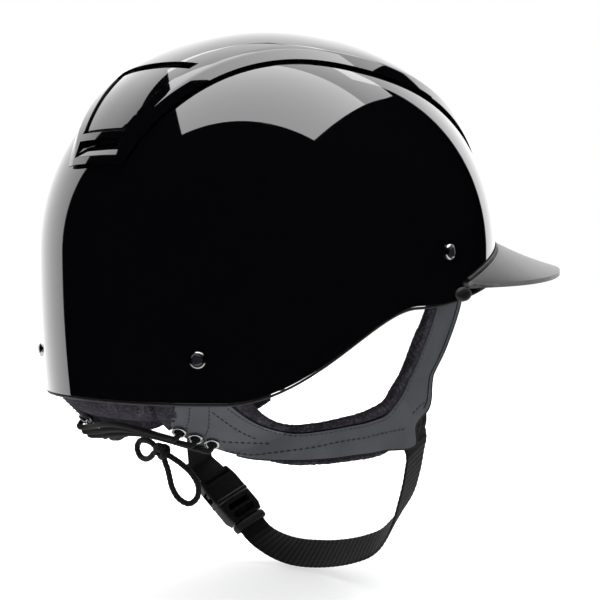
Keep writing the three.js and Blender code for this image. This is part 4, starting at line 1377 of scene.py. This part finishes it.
def buckle():
    half, thick = BUCKLE_WIDTH / 2, BUCKLE_THICK / 2
    strap_half = WEBBING_WIDTH / 2
    bar_room = 5.4

    outline = [(0, half - 2, thick - 1), (0.9, half - 1.2, thick - 0.3), (5, half - 0.5, thick),
               (8, half, thick), (FEMALE_LENGTH - 2.6, half, thick),
               (FEMALE_LENGTH - 2.1, half, thick + 0.45), (FEMALE_LENGTH - 0.5, half, thick + 0.45),
               (FEMALE_LENGTH, half - 0.3, thick)]
    female = bare("buckle_socket", rounded(outline))
    carve(female,
          slot_block(-1, bar_room, strap_half + 0.5, -9, 9),
          slot_block(bar_room + 1.6, FEMALE_LENGTH + 1, 11.3, -2.5, 2.5),
          slot_block(8.5, 16, half + 1, -2.5, 2.5))
    buckle_piece(female.name, female, "chin_strap", "buckle_female")
    bar = [Vector((2 + 1.2 * cos(t), 0, 1.2 * sin(t))) for t in range(0, 360, 20)]
    ends = [[Vector((p.x, y, p.z)) for p in bar] for y in (1 - half, half - 1)]
    buckle_piece("buckle_socket_bar", bare("bar", loft(ends)), "chin_strap", (), 0.15)

    start, end = FEMALE_LENGTH + 0.4, FEMALE_LENGTH + MALE_LENGTH
    outline = [(start, half, thick), (end - 4, half, thick), (end, half - 1.2, thick - 0.9)]
    male = bare("buckle_ladder", rounded(outline))
    carve(male,
          slot_block(start + 1.2, end + 1, strap_half + 0.5, -WEBBING / 2 - 0.5, WEBBING / 2 + 0.5),
          slot_block(start + 2.6, end - 2, strap_half + 0.4, 0, 9),
          slot_block(start + 2.6, start + 6.4, strap_half - 1.5, -9, 0),
          slot_block(start + 8.4, end - 2, strap_half - 1.5, -9, 0))
    buckle_piece(male.name, male, "buckle_male_half", "buckle_male")
    tongue = bare("tongue", slot_block(13, start + 1, 2.6, -1.8, 1.8))
    buckle_piece("buckle_tongue", tongue, "buckle_male_half", ())
    over_bar = Spline([(start + 2.7, 0, 1.5), (start + 3.8, 0, 3.4), (end - 5, 0, 3.7), (end - 3.2, 0, 3.3),
                       (end - 2.1, 0, 1.5)])
    tail = strap_mesh("webbing_tail", over_bar, 14, WEBBING_WIDTH - 0.4, 1, lambda t: 0, 0.16, 2)
    piece(tail.name, placed(tail, BUCKLE), WEBBING_LOOK, "buckle_male_half")

    root = FEMALE_LENGTH - 0.2
    for where, sign in (("front", -1), ("rear", 1)):
        outline = [(root, 8), (root, 10.6), (13, 10.8), (12.4, 12.7), (9.6, 12.3), (9.2, 10.8), (9.2, 8.6)]
        ends = [[Vector((x, sign * y, z)) for x, y in outline] for z in (-1.8, 1.8)]
        arm = bare("arm", loft(ends), 30)
        buckle_piece(f"buckle_arm_{where}", arm, f"prong_{where}", f"buckle_prong_{where}", 0.35)

    ring_start = end + 0.6
    wide, tall = strap_half + 1.85, 2.5
    rings = []
    for t in range(0, 360, 6):
        y = wide * math.copysign(abs(cos(t)) ** 0.35, cos(t))
        z = tall * math.copysign(abs(sin(t)) ** 0.6, sin(t))
        out = Vector((0, y / wide ** 2, z / tall ** 2)).normalized()
        centre = Vector((ring_start + RING_LENGTH / 2, y, z))
        rings.append([centre + Vector((2.45 * cos(a), 0, 0)) + out * sin(a) for a in range(0, 360, 24)])
    band = placed(bare("keeper_band", loft(rings, loops=True), 80), BUCKLE)
    piece("keeper_band", band, RUBBER, "keeper", "keeper_ring")


# ---------------------------------------------------------------- camera, floor and light

CAMERA_AZIMUTH, CAMERA_ELEVATION = 225, 1.86
CAMERA_DISTANCE = 0.9
CAMERA_LENS = 94.9
FLOOR_HALF = 6000
AIM = Vector((-0.0096, -0.0092, -0.0272))


def way(azimuth, elevation):
    """The direction that azimuth and elevation point out to: 0 is -Y and 90 is +X."""
    return Vector((sin(azimuth) * cos(elevation), -cos(azimuth) * cos(elevation), sin(elevation)))


def aimed(name, data, back, distance, aim):
    """A camera or light that looks at aim from a distance in the direction back."""
    obj = bpy.data.objects.new(name, data)
    bpy.context.scene.collection.objects.link(obj)
    obj.location = Vector(aim) + back * distance
    obj.rotation_mode = "QUATERNION"
    obj.rotation_quaternion = (-back).to_track_quat("-Z", "Y")
    return obj


def camera():
    data = bpy.data.cameras.new("camera")
    data.lens = CAMERA_LENS
    data.sensor_width = 36
    back = way(CAMERA_AZIMUTH, CAMERA_ELEVATION)
    bpy.context.scene.camera = aimed("camera", data, back, CAMERA_DISTANCE, AIM)


def panel_light(name, azimuth, elevation, distance, size, radiance, aim):
    """A flat soft box that the camera doesn't see."""
    data = bpy.data.lights.new(name, "AREA")
    data.shape = "RECTANGLE"
    data.size, data.size_y = size
    data.energy = radiance * math.pi * size[0] * size[1]
    aimed(name, data, way(azimuth, elevation), distance, aim).visible_camera = False


def floor():
    """A pale sheet just below the lowest piece; returns the height of that piece's underside."""
    low = min(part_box(node)[0].z for node in ("chin_webbing", "buckle_female", "keeper_ring")) / MM
    square = ((-1, -1), (1, -1), (1, 1), (-1, 1))
    corners = [Vector((x * FLOOR_HALF, y * FLOOR_HALF, low - 1)) for x, y in square]
    sheet = bare("floor", (corners, [[0, 1, 2, 3]]))
    look = Look("pale_floor", 0.8)
    tone = look.colours(look.noise(300, 3), (0.3, (0.88, 0.88, 0.89)), (0.7, (0.93, 0.93, 0.93)))
    look.set("Base Color", tone)
    look.set("Emission Color", (1, 1, 1, 1))
    look.set("Emission Strength", 0.22)
    sheet.data.materials.append(look.material)
    sheet.visible_glossy = False
    return low * MM


def studio():
    world = bpy.data.worlds.new("studio")
    bpy.context.scene.world = world
    world.use_nodes = True
    sky = world.node_tree.nodes["Background"]
    sky.inputs["Color"].default_value = (1, 1, 1, 1)
    sky.inputs["Strength"].default_value = 1
    world.cycles_visibility.glossy = False
    bpy.context.scene.view_settings.view_transform = "Standard"

    for k, azimuth in enumerate((22, 60, 98)):
        panel_light(f"backdrop_{k + 1}", azimuth, 0, 1.5, (1.033, 2.5), 1.6, aim=(0, 0, 0.55))
    right = way(CAMERA_AZIMUTH + 90, 0)
    near, far = way(CAMERA_AZIMUTH, 0), way(CAMERA_AZIMUTH + 180, 0)
    side = right * 0.225
    panel_light("overhead_near", CAMERA_AZIMUTH, 89.9, 1.3, (1.75, 1.05), 4.1, aim=side + near * 0.025)
    panel_light("overhead_far", CAMERA_AZIMUTH, 89.9, 1.3, (1.75, 0.55), 2, aim=side + far * 0.775)
    low = floor()
    panel_light("underglow", 0, -89.9, 0.002, (0.5, 0.5), 0.8, aim=(0, 0, low))


camera()
studio()
outer_shell()
centre_panel()
vents()
impact_liner()
peak()
rim_trim()
headband_pads()
crown_pad()
nape_pad()
harness()
rivets()
eyelets()
lace()
chin_webbing()
chin_tab()
buckle()
